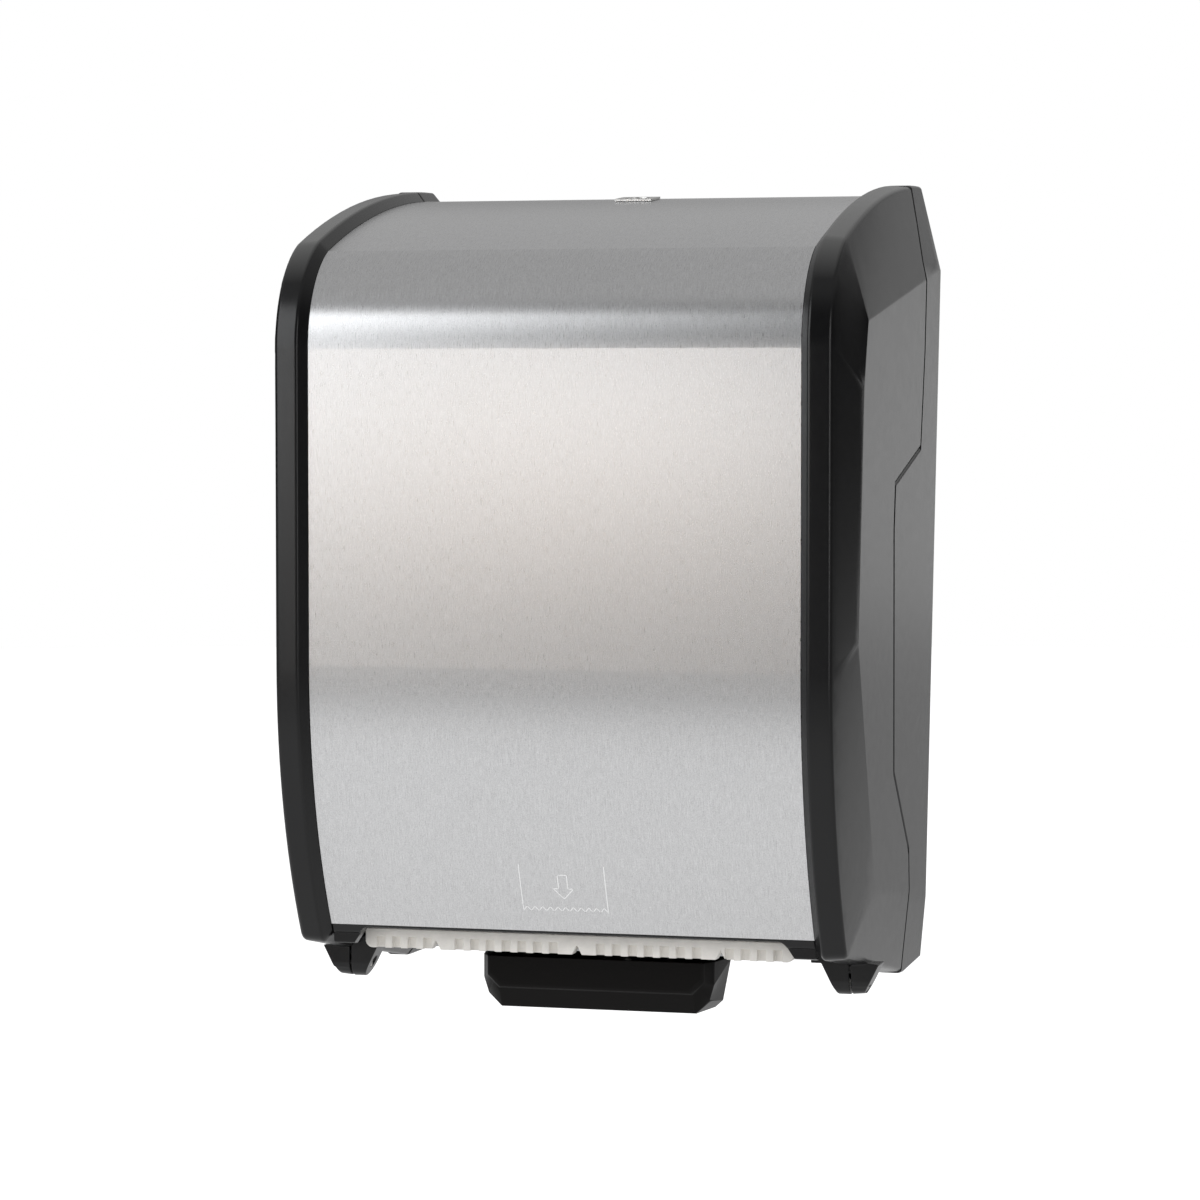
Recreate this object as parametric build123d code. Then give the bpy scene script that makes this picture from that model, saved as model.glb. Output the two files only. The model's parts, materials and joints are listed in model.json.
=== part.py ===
from build123d import *
import math
import os

# Wall-mounted paper towel dispenser: a steel-fronted cover hinged at the foot of a wall
# housing that carries the roll arms, the feed drum with its knife and the push lever.
# Millimetres. Pieces are drawn with x to the viewer's right, y as the setback behind the
# front of the cover's ribs and z as the height above the casing's lowest edge. Each piece
# is then moved so that the origin is the centre of the wall screws, on the wall plane.

# Casing outline seen from the side
casing_depth = 236.0
casing_height = 442.0
front_low = 185.0
shoulder_setback = 36.0
shoulder_start_below_top = 92.0
shoulder_end_below_top = 35.0
top_arc_height = 8.4
toe_setback = 39.5
toe_height = 35.0
toe_round = 9.0
heel_height = 12.0
heel_recess = 4.2
wall = 3.0
back_wall = 4.0
overrun = 20.0

# Ribs and drafted side faces, as half widths from the middle plane
rib_inner = 131.5
rib_chamfer_width = 4.5
rib_flat_to = 146.0
rib_inner_round = 2.5
rib_outer_round = 2.8
rib_round_steps = 4
steel_recess = 5.5
side_half_width = 159.6
side_line_below_top = 47.0
side_toe_round = 12.0
side_draft_share = 0.0203
side_inset_share = 0.15
side_shares = (
    (0.140, 0.452), (0.140, 0.747), (0.169, 0.824), (1.0, 0.894), (1.0, 0.104), (0.381, 0.154),
)

# Joint line between cover and housing, as shares of the casing's depth and height
split_gap = 1.0
split_shares = (
    (0.877, 1.05), (0.877, 0.998), (0.826, 0.900), (0.826, 0.794), (0.801, 0.672), (0.513, 0.631),
    (0.508, 0.577), (0.572, 0.281), (0.775, 0.176), (0.792, 0.127), (0.788, 0.050), (0.788, -0.05),
    (1.1, -0.05), (1.1, 1.05),
)
swing_low_index = 8
swing_high_index = 7
joint_foot_index = 10
swing_clearance = 0.6
swing_trim = 4.0

# Clearances shared by all pieces
seat_gap = 0.1
running_gap = 0.05
free_gap = 0.4

# Wall screws
mount_above_middle = 18.0
mount_spacing_x = 152.4
mount_spacing_z = 304.8
mount_hole_radius = 3.25

# Screws inside the casing
screw_radius = 2.0
screw_length = 6.0
screw_head_radius = 3.8
screw_head_height = 2.1

# Cover: steel sheet, the cheeks' flanges, lip and top rail
sheet = 1.0
steel_bottom = 45.0
flange_sheet = 2.0
flange_inner = 123.5
flange_bottom = 63.0
lip_back = 52.0
lip_top = 62.0
lip_line = 1.4
lip_sheet = 3.1
lip_mouth_half_width = 114.0
lip_mouth_spread = 8.5
lip_toe_front = 44.0
lip_toe_inset = 0.5
lip_end_sheet = 3.4
lip_end_back = 56.0
lip_end_bottom = 41.0
lip_screw_setback = 48.0
lip_screw_height = 53.0
lip_mouth_round = 5.0
boss_half_size = 7.0
rail_before_lock = 14.0
rail_sheet = 3.0
rail_screw_length = 4.4
rail_screw_recess = 0.5
stud_radius = 1.5
stud_length = 5.0
stud_height_shares = (0.08, 0.36, 0.64, 0.92)

# Hinge feet
hinge_setback = 101.0
hinge_height = 17.0
hinge_pin_radius = 3.0
hinge_pin_inner = 129.5
hinge_pin_outer = 148.5
foot_centre = 139.0
foot_slit = 1.0
foot_top_half_width = 15.5
foot_bottom_half_width = 7.0
foot_round = 8.0
foot_top = 26.0
foot_arm_top = 32.0
foot_sweep_gap = 0.6

# Lock
lock_from_wall = 56.0
lock_radius = 7.0
lock_plate_half_width = 10.5
lock_plate_half_depth = 10.0
lock_plate_thickness = 1.45
lock_boss_radius = 12.0
lock_boss_below_top = 30.0
lock_below_top = 8.0
lock_slot_width = 2.0
lock_slot_length = 9.0
lock_slot_depth = 2.5
lock_cam_sheet = 3.0
lock_cam_half_width = 6.0
lock_cam_reach = 32.0
lock_lug_thickness = 4.0
lock_lug_length = 8.0
keeper_half_width = 6.0
keeper_sheet = 3.0
keeper_screw_depth = 14.0

# Chassis plates
chassis_inner = 118.0
chassis_sheet = 3.0
chassis_top = 195.0
chassis_flange_width = 14.0
chassis_flange_height_shares = (0.3, 0.85)
chassis_shares = (
    (0.237, 0.12), (0.237, 0.31), (0.203, 0.66), (0.203, 0.86), (0.297, 0.95), (0.64, 1.0),
    (1.0, 1.0), (1.0, 0.0), (0.40, 0.0),
)

# Base tray and towel outlet
tray_flange_height = 12.0
tray_screw_from_joint = 18.0
tray_window_half_width = 70.0
tray_window_back = 142.0
guide_half_width = 117.4
guide_front = 55.0
guide_comb_depth = 7.5
guide_web_depth = 4.0
guide_bottom = 31.0
guide_comb_top = 41.5
guide_top = 56.0
guide_end_round = 4.0
guide_pitch = 8.7
guide_pocket_width = 4.6
guide_pocket_depth = 2.8
guide_pocket_top = 37.2
guide_notch_half_width = 2.6
guide_notch_height = 5.0
guide_notch_spacing = 78.0
guide_end_block = 6.0
guide_end_depth = 10.0
chute_front = 86.0
chute_sheet = 3.0
chute_bottom = 30.0
chute_below_drum = 6.0
chute_half_width = 109.0
chute_tab_share = 0.36
chute_tab_depth = 9.0

# Feed drum and knife
drum_setback = 105.0
drum_height = 118.0
drum_radius = 42.0
drum_skin = 2.5
drum_half_length = 106.0
drum_end_sheet = 4.0
drum_shaft_radius = 5.0
drum_shaft_half_length = 130.0
drum_slot_angle = -60.0
drum_slot_before_angle = 30.0
drum_slot_after_angle = 12.0
drum_seam_angle = 0.6
bush_radius = 8.0
bush_flange_radius = 10.0
bush_flange_sheet = 1.2
ratchet_radius = 28.0
ratchet_tooth_depth = 3.0
ratchet_teeth = 24
ratchet_sheet = 4.0
ratchet_gap = 2.0
crank_sheet = 3.0
crank_gap = 1.6
crank_radius = 14.0
crank_eye_radius = 6.0
crank_pin_radius = 2.0
crank_pin_length = 5.6
knob_radius = 24.0
knob_sheet = 7.6
knob_gap = 1.6
knob_grip_radius = 3.0
knob_grips = 12
knife_pivot_out = 20.0
knife_pivot_side = 20.0
knife_pin_radius = 2.5
knife_hub_radius = 4.8
knife_arm_width = 7.0
knife_arm_length = 21.0
knife_arm_angle = 48.0
knife_blade_sheet = 1.0
knife_blade_from = 15.0
knife_blade_reach = 26.6
knife_tooth_depth = 1.6
knife_tooth_pitch = 8.0
knife_half_length = 100.0

# Pinch roller
pinch_angle = 145.0
pinch_nip = 0.35
pinch_radius = 11.0
pinch_shaft_radius = 3.0
pinch_shaft_half_length = 122.0
pinch_sleeve_half_length = 24.0
pinch_sleeve_spacing = 70.0

# Push lever, its pin, pawl and return spring
lever_setback = 106.0
lever_below_drum = 20.0
lever_pin_radius = 3.0
lever_hub_radius = 6.0
lever_hub_left = 116.0
lever_hub_right = 60.0
lever_arm_half_spacing = 42.0
lever_arm_sheet = 4.0
lever_arm_half_depth = 9.0
paddle_front = 90.0
paddle_nose = 8.0
paddle_depth = 30.0
paddle_half_width = 60.5
paddle_nose_flare = 3.7
paddle_back_flare = 8.0
paddle_top = 24.0
paddle_face_bottom = 6.6
paddle_below_casing = 4.5
paddle_back_edge = 1.0
paddle_skin = 2.5
paddle_face_corner = 6.6
paddle_face_corner_shares = ((0.0, 1.0), (0.5, 0.5), (1.0, 0.0))
paddle_face_round = 2.2
paddle_round_steps = 4
paddle_nose_corner_x = 10.2
paddle_nose_corner_z = 16.0
paddle_nose_corner_shares = ((0.0, 1.0), (0.27, 0.46), (1.0, 0.0))
paddle_back_corner_x = 8.5
paddle_back_corner_z = 27.0
paddle_back_corner_shares = ((0.0, 1.0), (0.52, 0.14), (1.0, 0.0))
pawl_width = 5.0
pawl_tip_angle = 208.0
pawl_elbow_out = 6.0
spring_sheet = 0.8
lever_spring_half_width = 8.0
lever_spring_bend_share = 0.583
lever_spring_bow = 6.0
lever_spring_hump = 2.1
lever_spring_tip_height = 18.0

# Drum spring between the crank pin and its post
coil_radius = 3.4
coil_wire_radius = 0.6
coil_turns = 10
coil_tail = 1.2
post_below_crank = 44.0
post_radius = 2.0
post_length = 9.0

# Roll arms and hubs
roll_setback = 118.0
roll_height = 315.0
arm_inner = 106.0
arm_sheet = 3.0
arm_half_height = 14.0
arm_foot_half_height = 26.0
arm_foot_width = 16.0
arm_foot_sheet = 3.0
hub_radius = 18.0
hub_length = 14.0
hub_cone_length = 3.0
hub_axle_radius = 4.0
pivot_offset = 6.0
pivot_from_wall = 12.0
pivot_pin_radius = 2.5
pivot_knuckle_radius = 6.0
pivot_ear_height = 7.0
pivot_ear_depth = 15.0

front_high = casing_height - shoulder_start_below_top
shoulder_height = casing_height - shoulder_end_below_top
side_top = casing_height - side_line_below_top
mount_height = casing_height / 2 + mount_above_middle
lock_setback = casing_depth - lock_from_wall
lock_boss_bottom = casing_height - lock_boss_below_top
lock_top = casing_height - lock_below_top
pivot_setback = casing_depth - pivot_from_wall
joint_foot = casing_depth * split_shares[joint_foot_index][0]
tray_screw_setback = joint_foot - tray_screw_from_joint
drum_bottom = drum_height - drum_radius
lever_height = drum_bottom - lever_below_drum
chute_top = drum_bottom - chute_below_drum
chute_tab_top = chute_bottom + chute_tab_share * (chute_top - chute_bottom)
pinch_reach = drum_radius + pinch_radius + pinch_nip
post_height = drum_height - crank_radius - post_below_crank
casing_inner_inset = steel_recess + wall
back_inside = casing_depth - back_wall
chassis_outer = chassis_inner + chassis_sheet
flange_inset = steel_recess + sheet + seat_gap
flange_middle = (flange_inner + rib_inner) / 2
rail_inset = flange_inset + flange_sheet + seat_gap
far_x = side_half_width + overrun
far_z = casing_height + overrun
lip_screw_seat = (rib_inner - seat_gap - lip_end_sheet, lip_screw_setback, lip_screw_height)


def block(x, y, z):
    """Box between pairs of limits."""
    size = (x[1] - x[0], y[1] - y[0], z[1] - z[0])
    centre = ((x[0] + x[1]) / 2, (y[0] + y[1]) / 2, (z[0] + z[1]) / 2)
    return Pos(*centre) * Box(*size)


def side_face(points):
    """Polygon in the side view, from (setback, height) points."""
    return make_face(Polyline(*points, close=True))


def slab(face, x_from, x_to):
    """Side-view face made solid between two x values."""
    return Pos(x_from, 0, 0) * extrude(Plane.YZ * face, x_to - x_from, dir=(1, 0, 0))


def rod(radius, x_from, x_to, setback, height):
    """Round bar along x."""
    return Pos((x_from + x_to) / 2, setback, height) * Rot(0, 90, 0) * Cylinder(radius, x_to - x_from)


def upright(radius, x, setback, z_from, z_to):
    """Round bar along z."""
    return Pos(x, setback, (z_from + z_to) / 2) * Cylinder(radius, z_to - z_from)


def mirrored(piece):
    """The same piece on the other side of the middle plane."""
    return mirror(piece, about=Plane.YZ)


def on_circle(setback, height, radius, angle):
    """Point in the side view at an angle from straight back."""
    turn = math.radians(angle)
    return (setback + radius * math.cos(turn), height + radius * math.sin(turn))


def profile(inset=0):
    """Casing outline in the side view, drawn in by an inset and run on past the wall."""
    beyond = casing_depth + overrun
    toe = (toe_setback, toe_height)
    top_end = (casing_depth, casing_height)
    bend = (shoulder_setback, shoulder_height)
    lines = [
        Line((0, front_low), (0, front_high)),
        TangentArc((0, front_high), bend, tangent=(0, 1)),
        SagittaArc(bend, top_end, top_arc_height),
        Polyline(top_end, (beyond, casing_height), (beyond, 0), (casing_depth, 0), toe),
        TangentArc((0, front_low), toe, tangent=(0, -1)),
    ]
    face = make_face(lines)
    face = fillet(face.vertices().sort_by_distance(toe)[0], toe_round)
    if inset == 0:
        return face
    return offset(face, -inset, kind=Kind.INTERSECTION)


def side_panel_face(depth):
    """Flat of the drafted side, moved in by a wall depth."""
    beyond = casing_depth + overrun
    plane = Plane((side_half_width - depth, 0, side_top), (0, 1, 0), (1, 0, -side_draft_share))
    points = [(casing_depth * u, casing_height * v - side_top) for u, v in side_shares]
    run_on = [(beyond, points[3][1]), (beyond, points[4][1])]
    face = side_face(points[:4] + run_on + points[4:])
    face = fillet(face.vertices().sort_by_distance(points[5])[0], side_toe_round)
    if depth:
        face = offset(face, -depth * side_inset_share, kind=Kind.INTERSECTION)
    return plane * face


def side_solid(stations, depth):
    """Rib and bulged side lofted through (half width, inset) stations to the flat."""
    faces = [Pos(x, 0, 0) * (Plane.YZ * profile(inset)) for x, inset in stations]
    return loft(faces + [side_panel_face(depth)], ruled=True)


def rib_stations():
    """Half width and inset of the rib's section, from the sheet's edge out to the drafted side."""
    chamfer = math.atan2(steel_recess, rib_chamfer_width)
    flat_from = rib_inner + rib_chamfer_width + rib_inner_round * math.tan(chamfer / 2)
    side = math.atan2(casing_depth * side_shares[0][0], side_half_width - rib_flat_to)
    rounds = ((flat_from, rib_inner_round, -chamfer, 0), (rib_flat_to, rib_outer_round, 0, side))
    stations = [(rib_inner, steel_recess)]
    for x, radius, turn_from, turn_to in rounds:
        for step in range(rib_round_steps + 1):
            turn = turn_from + (turn_to - turn_from) * step / rib_round_steps
            stations.append((x + radius * math.sin(turn), radius * (1 - math.cos(turn))))
    return stations


def ring(outer, inner, x_from, x_to):
    """Skin of the casing between two insets."""
    return slab(profile(outer), x_from, x_to) - slab(profile(inner), x_from, x_to)


def split_points():
    """Corners of the joint line in the side view."""
    return [(casing_depth * u, casing_height * v) for u, v in split_shares]


def rear_zone(gap):
    """Space behind the joint line, grown by a gap."""
    face = side_face(split_points())
    if gap:
        face = offset(face, gap, kind=Kind.INTERSECTION)
    return slab(face, -far_x, far_x)


def screw(point, direction, length=screw_length):
    """Pan-head screw whose head seats at a point and whose shank runs along a direction."""
    shank = Cylinder(screw_radius, length, align=(Align.CENTER, Align.CENTER, Align.MIN))
    head = Cylinder(
        screw_head_radius, screw_head_height, align=(Align.CENTER, Align.CENTER, Align.MAX)
    )
    return Plane(point, z_dir=direction) * (head + shank)


def screw_hole(point, direction, length=screw_length):
    """Hole for the shank of a screw."""
    shank = Cylinder(screw_radius, length, align=(Align.CENTER, Align.CENTER, Align.MIN))
    return Plane(point, z_dir=direction) * shank


outer_right = side_solid(rib_stations(), 0)
cavity_right = side_solid(
    (
        (rib_inner + wall, casing_inner_inset),
        (rib_inner + rib_chamfer_width + wall / 2, wall),
        (rib_flat_to - wall / 2, wall),
        (rib_flat_to + rib_outer_round - wall, wall + rib_outer_round - wall / 2),
    ),
    wall,
)
outer_middle = slab(profile(steel_recess), -rib_inner, rib_inner)
cavity_middle = slab(profile(casing_inner_inset), -rib_inner - wall, rib_inner + wall)
in_front_of_wall = block((-far_x, far_x), (-overrun, casing_depth), (-overrun, far_z))
inside_back = block((-far_x, far_x), (-overrun, back_inside), (-overrun, far_z))
cavity = (cavity_middle + cavity_right + mirrored(cavity_right)) & inside_back


def housing_screw_points():
    """Seats of the screws that hold chassis, arms and keeper to the back wall."""
    seat = back_inside - chassis_sheet
    x = chassis_inner - chassis_flange_width / 2
    heights = [chassis_top * share for share in chassis_flange_height_shares]
    points = [(s * x, seat, height) for s in (-1, 1) for height in heights]
    arm_x = arm_inner + arm_sheet - arm_foot_width / 2
    arm_z = arm_foot_half_height - screw_head_radius - seat_gap
    points += [(-arm_x, back_inside - arm_foot_sheet, roll_height + s * arm_z) for s in (-1, 1)]
    bracket_z = arm_half_height + pivot_ear_height / 2 + seat_gap
    bracket_x = arm_inner - arm_foot_width / 2
    points += [(bracket_x, back_inside - arm_foot_sheet, roll_height + s * bracket_z) for s in (-1, 1)]
    points.append((0, back_inside - keeper_sheet, keeper_floor() - keeper_screw_depth))
    return points


def side_screw_points():
    """Seats of the screws through the right chassis plate into guide, chute and tray."""
    guide_z = (guide_comb_top + guide_top) / 2
    guide_y = guide_front + guide_comb_depth + guide_end_depth / 2
    chute_y = chute_front + chute_tab_depth / 2
    chute_z = (chute_bottom + chute_tab_top) / 2
    tray_z = tray_floor(tray_screw_setback) + tray_flange_height / 2
    return [
        (chassis_outer, guide_y, guide_z),
        (chassis_outer, chute_y, chute_z),
        (chassis_outer, tray_screw_setback, tray_z),
    ]


def pinch_place():
    """Axis of the pinch roller, against the drum."""
    return on_circle(drum_setback, drum_height, pinch_reach, pinch_angle)


def bottom_line(setback):
    """Height of the casing's sloping underside."""
    return toe_height * (casing_depth - setback) / (casing_depth - toe_setback)


def under_heel(raised, half_width):
    """Space under the housing's heel, which lifts from the joint's foot to the wall."""
    beyond = casing_depth + overrun
    points = [
        (joint_foot, bottom_line(joint_foot) + raised),
        (casing_depth, heel_height + raised),
        (beyond, heel_height + raised),
        (beyond, -overrun),
        (joint_foot, -overrun),
    ]
    return slab(side_face(points), -half_width, half_width)


def tray_floor(setback):
    """Height of the base tray's upper face."""
    slope = math.atan2(toe_height, casing_depth - toe_setback)
    return bottom_line(setback) + casing_inner_inset / math.cos(slope)


def keeper_floor():
    """Underside of the lock keeper's arm."""
    cam_bottom = lock_boss_bottom - free_gap - lock_cam_sheet
    return cam_bottom - lock_lug_length - free_gap - keeper_sheet


def rear_housing():
    casing = (outer_middle + outer_right + mirrored(outer_right)) & in_front_of_wall
    floor = under_heel(wall, far_x) + under_heel(heel_recess + wall, rib_inner + wall)
    shell = (casing & rear_zone(0)) - under_heel(0, far_x) - under_heel(heel_recess, rib_inner)
    shell -= cavity - floor
    for sx in (-1, 1):
        for sz in (-1, 1):
            x = sx * mount_spacing_x / 2
            z = mount_height + sz * mount_spacing_z / 2
            bolt = Cylinder(mount_hole_radius, back_wall + overrun)
            shell -= Pos(x, casing_depth - back_wall / 2, z) * Rot(90, 0, 0) * bolt
    for point in housing_screw_points():
        shell -= screw_hole(point, (0, 1, 0))
    return shell


def foot_trapezoid(x_from, x_to):
    """Hinge foot seen from the front, cut between two x values and rounded about the pin."""
    low = hinge_height - foot_round
    points = [
        (foot_centre - foot_top_half_width, foot_top),
        (foot_centre - foot_bottom_half_width, low),
        (foot_centre + foot_bottom_half_width, low),
        (foot_centre + foot_top_half_width, foot_top),
    ]
    face = Plane.XZ * make_face(Polyline(*points, close=True))
    depth = hinge_setback + foot_round + overrun
    prism = extrude(face, depth, dir=(0, 1, 0))
    lug = rod(foot_round, x_from, x_to, hinge_setback, hinge_height)
    neck_y = (hinge_setback - foot_round, hinge_setback + foot_round)
    lug += block((x_from, x_to), neck_y, (hinge_height, foot_top))
    return prism & lug


def swing_cut():
    """Sliver of the cheek that would strike the housing as the cover swings out."""
    low, high = (split_points()[i] for i in (swing_low_index, swing_high_index))
    run = (high[0] - low[0], high[1] - low[1])
    length = math.hypot(*run)
    away = (hinge_setback - low[0], hinge_height - low[1])
    along = (away[0] * run[0] + away[1] * run[1]) / length
    radius = math.sqrt(math.hypot(*away) ** 2 - along ** 2) - swing_clearance
    nearest = low[0] + run[0] * along / length
    corner = block((-far_x, far_x), (nearest, casing_depth), (hinge_height, high[1]))
    kept = rod(radius, -far_x, far_x, hinge_setback, hinge_height)
    return (rear_zone(split_gap + swing_trim) & corner) - kept


def cheek_right():
    behind = rear_zone(split_gap)
    body = (outer_right & in_front_of_wall) - cavity
    flange = ring(flange_inset, flange_inset + flange_sheet, flange_inner, rib_inner + wall)
    flange -= block((0, far_x), (-overrun, casing_depth + overrun), (-overrun, flange_bottom))
    boss_y = (lip_screw_setback - boss_half_size, lip_screw_setback + boss_half_size)
    boss_z = (lip_screw_height - boss_half_size, lip_screw_height + boss_half_size)
    boss = block((rib_inner, rib_flat_to), boss_y, boss_z)
    sweep_radius = math.hypot(foot_round, foot_arm_top - hinge_height) + foot_sweep_gap
    half_slit = foot_slit / 2
    room = rod(sweep_radius, 0, foot_centre + half_slit, hinge_setback, hinge_height)
    body = body + flange + boss
    body = body - behind - swing_cut() - room
    body += foot_trapezoid(foot_centre + half_slit, far_x)
    body -= rod(hinge_pin_radius, foot_centre, hinge_pin_outer, hinge_setback, hinge_height)
    body -= screw_hole(lip_screw_seat, (1, 0, 0))
    for point in rail_screw_points():
        body -= screw_hole(point, (0, 0, 1), rail_screw_length)
    for point in stud_points():
        body -= Plane(point, z_dir=(0, 1, 0)) * Cylinder(stud_radius + running_gap, overrun)
    return body


def rail_screw_points():
    """Seats, under the rail, of the two screws on the right."""
    step = 2 * screw_head_radius + free_gap
    points = []
    for setback in (lock_setback - step, lock_setback):
        seat = roof(setback) - rail_inset - rail_sheet - rail_screw_recess
        points.append((flange_middle, setback, seat))
    return points


def roof(setback):
    """Height of the casing's top arc."""
    chord = math.dist((shoulder_setback, shoulder_height), (casing_depth, casing_height))
    radius = top_arc_height / 2 + chord ** 2 / (8 * top_arc_height)
    tilt = math.atan2(casing_height - shoulder_height, casing_depth - shoulder_setback)
    middle = ((shoulder_setback + casing_depth) / 2, (shoulder_height + casing_height) / 2)
    drop = radius - top_arc_height
    centre = (middle[0] + drop * math.sin(tilt), middle[1] - drop * math.cos(tilt))
    return centre[1] + math.sqrt(radius ** 2 - (setback - centre[0]) ** 2)


def stud_points():
    """Places of the steel panel's weld studs on the right, on the back of the sheet."""
    setback = steel_recess + sheet
    span = front_high - front_low
    return [(flange_middle, setback, front_low + span * share) for share in stud_height_shares]


def steel_panel():
    half = rib_inner - seat_gap
    panel = ring(steel_recess, steel_recess + sheet, -half, half)
    panel -= block((-far_x, far_x), (-overrun, casing_depth + overrun), (-overrun, steel_bottom))
    panel -= rear_zone(split_gap)
    hole = upright(lock_radius + free_gap, 0, lock_setback, lock_boss_bottom, far_z)
    return panel - hole


def panel_studs():
    studs = []
    for point in stud_points():
        bar = Cylinder(stud_radius, stud_length, align=(Align.CENTER, Align.CENTER, Align.MIN))
        studs.append(Plane(point, z_dir=(0, 1, 0)) * bar)
    return Compound(studs + [mirrored(stud) for stud in studs])


def cover_lip():
    half = rib_inner - seat_gap
    lower = ring(steel_recess, steel_recess + lip_sheet, -half, half)
    lower &= block((-far_x, far_x), (0, lip_back), (0, steel_bottom - seat_gap))
    toe = slab(profile(lip_toe_inset), -half, half) - slab(profile(steel_recess), -half, half)
    toe &= block((-far_x, far_x), (lip_toe_front, lip_back), (0, steel_bottom - seat_gap))
    upper = ring(flange_inset, steel_recess + lip_sheet, -half, half)
    upper &= block((-far_x, far_x), (0, lip_back), (steel_bottom - lip_line, lip_top))
    mouth_top = steel_bottom - seat_gap - lip_line
    mouth = [
        (-lip_mouth_half_width - lip_mouth_spread, 0),
        (-lip_mouth_half_width - lip_mouth_spread, guide_bottom),
        (-lip_mouth_half_width, mouth_top),
        (lip_mouth_half_width, mouth_top),
        (lip_mouth_half_width + lip_mouth_spread, guide_bottom),
        (lip_mouth_half_width + lip_mouth_spread, 0),
    ]
    face = make_face(Polyline(*mouth, close=True))
    face = fillet(face.vertices().group_by(Axis.Y)[-1], lip_mouth_round)
    opening = extrude(Plane.XZ * face, far_z, dir=(0, 1, 0))
    lip = lower + toe - opening + upper
    end = slab(profile(flange_inset), half - lip_end_sheet, half)
    end &= block((0, far_x), (0, lip_end_back), (lip_end_bottom, lip_top))
    lip = lip + end + mirrored(end)
    hole = screw_hole(lip_screw_seat, (1, 0, 0))
    return lip - hole - mirrored(hole)


def top_rail():
    narrow = flange_inner - seat_gap
    wide = rib_inner - seat_gap
    bar = ring(flange_inset, rail_inset + rail_sheet, -narrow, narrow)
    bar += ring(rail_inset, rail_inset + rail_sheet, -wide, wide)
    front = lock_setback - rail_before_lock
    bar &= block((-far_x, far_x), (front, casing_depth), (flange_bottom, far_z))
    bar -= rear_zone(split_gap)
    under = slab(profile(rail_inset), -far_x, far_x)
    boss = upright(lock_boss_radius, 0, lock_setback, lock_boss_bottom, casing_height) & under
    bar += boss
    bar -= upright(lock_radius + running_gap, 0, lock_setback, 0, far_z)
    for point in rail_screw_points():
        seat = upright(screw_head_radius + seat_gap, point[0], point[1], 0, point[2])
        hole = screw_hole(point, (0, 0, 1), rail_screw_length)
        bar = bar - seat - mirrored(seat) - hole - mirrored(hole)
    return bar


def lock_plate():
    under = steel_recess - seat_gap
    half = lock_plate_half_width
    plate = ring(under - lock_plate_thickness, under, -half, half)
    plate &= block(
        (-far_x, far_x),
        (lock_setback - lock_plate_half_depth, lock_setback + lock_plate_half_depth),
        (lock_boss_bottom, far_z),
    )
    return plate - upright(lock_radius + free_gap, 0, lock_setback, 0, far_z)


def cover_screws():
    screws = [screw(lip_screw_seat, (1, 0, 0))]
    screws += [screw(point, (0, 0, 1), rail_screw_length) for point in rail_screw_points()]
    return Compound(screws + [mirrored(one) for one in screws])


def hinge_pins():
    pin = rod(hinge_pin_radius, hinge_pin_inner, hinge_pin_outer, hinge_setback, hinge_height)
    return Compound([pin, mirrored(pin)])


def lock_barrel():
    barrel = upright(lock_radius, 0, lock_setback, lock_boss_bottom - free_gap, lock_top)
    slot_x = (-lock_slot_width / 2, lock_slot_width / 2)
    slot_y = (lock_setback - lock_slot_length / 2, lock_setback + lock_slot_length / 2)
    return barrel - block(slot_x, slot_y, (lock_top - lock_slot_depth, far_z))


def lock_cam():
    top = lock_boss_bottom - free_gap
    bottom = top - lock_cam_sheet
    width = (lock_setback - lock_cam_half_width, lock_setback + lock_cam_half_width)
    arm = block((0, lock_cam_reach), width, (bottom, top))
    arm += upright(lock_cam_half_width, 0, lock_setback, bottom, top)
    lug_x = (lock_cam_reach - lock_lug_thickness, lock_cam_reach)
    arm += block(lug_x, width, (bottom - lock_lug_length, bottom))
    return arm


def lock_keeper():
    low = keeper_floor()
    post_back = lock_setback + lock_cam_reach - lock_lug_thickness - free_gap - seat_gap
    half_chord = math.sqrt((post_back - lock_setback) ** 2 - keeper_half_width ** 2)
    post_back = lock_setback + half_chord
    post_top = low + keeper_sheet + lock_lug_length
    across = (-keeper_half_width, keeper_half_width)
    arm = block(across, (post_back - keeper_sheet, back_inside), (low, low + keeper_sheet))
    arm += block(across, (post_back - keeper_sheet, post_back), (low, post_top - free_gap))
    foot = (back_inside - keeper_sheet, back_inside)
    arm += block(across, foot, (low - 2 * keeper_screw_depth, low))
    return arm - screw_hole((0, back_inside - keeper_sheet, low - keeper_screw_depth), (0, 1, 0))


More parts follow.
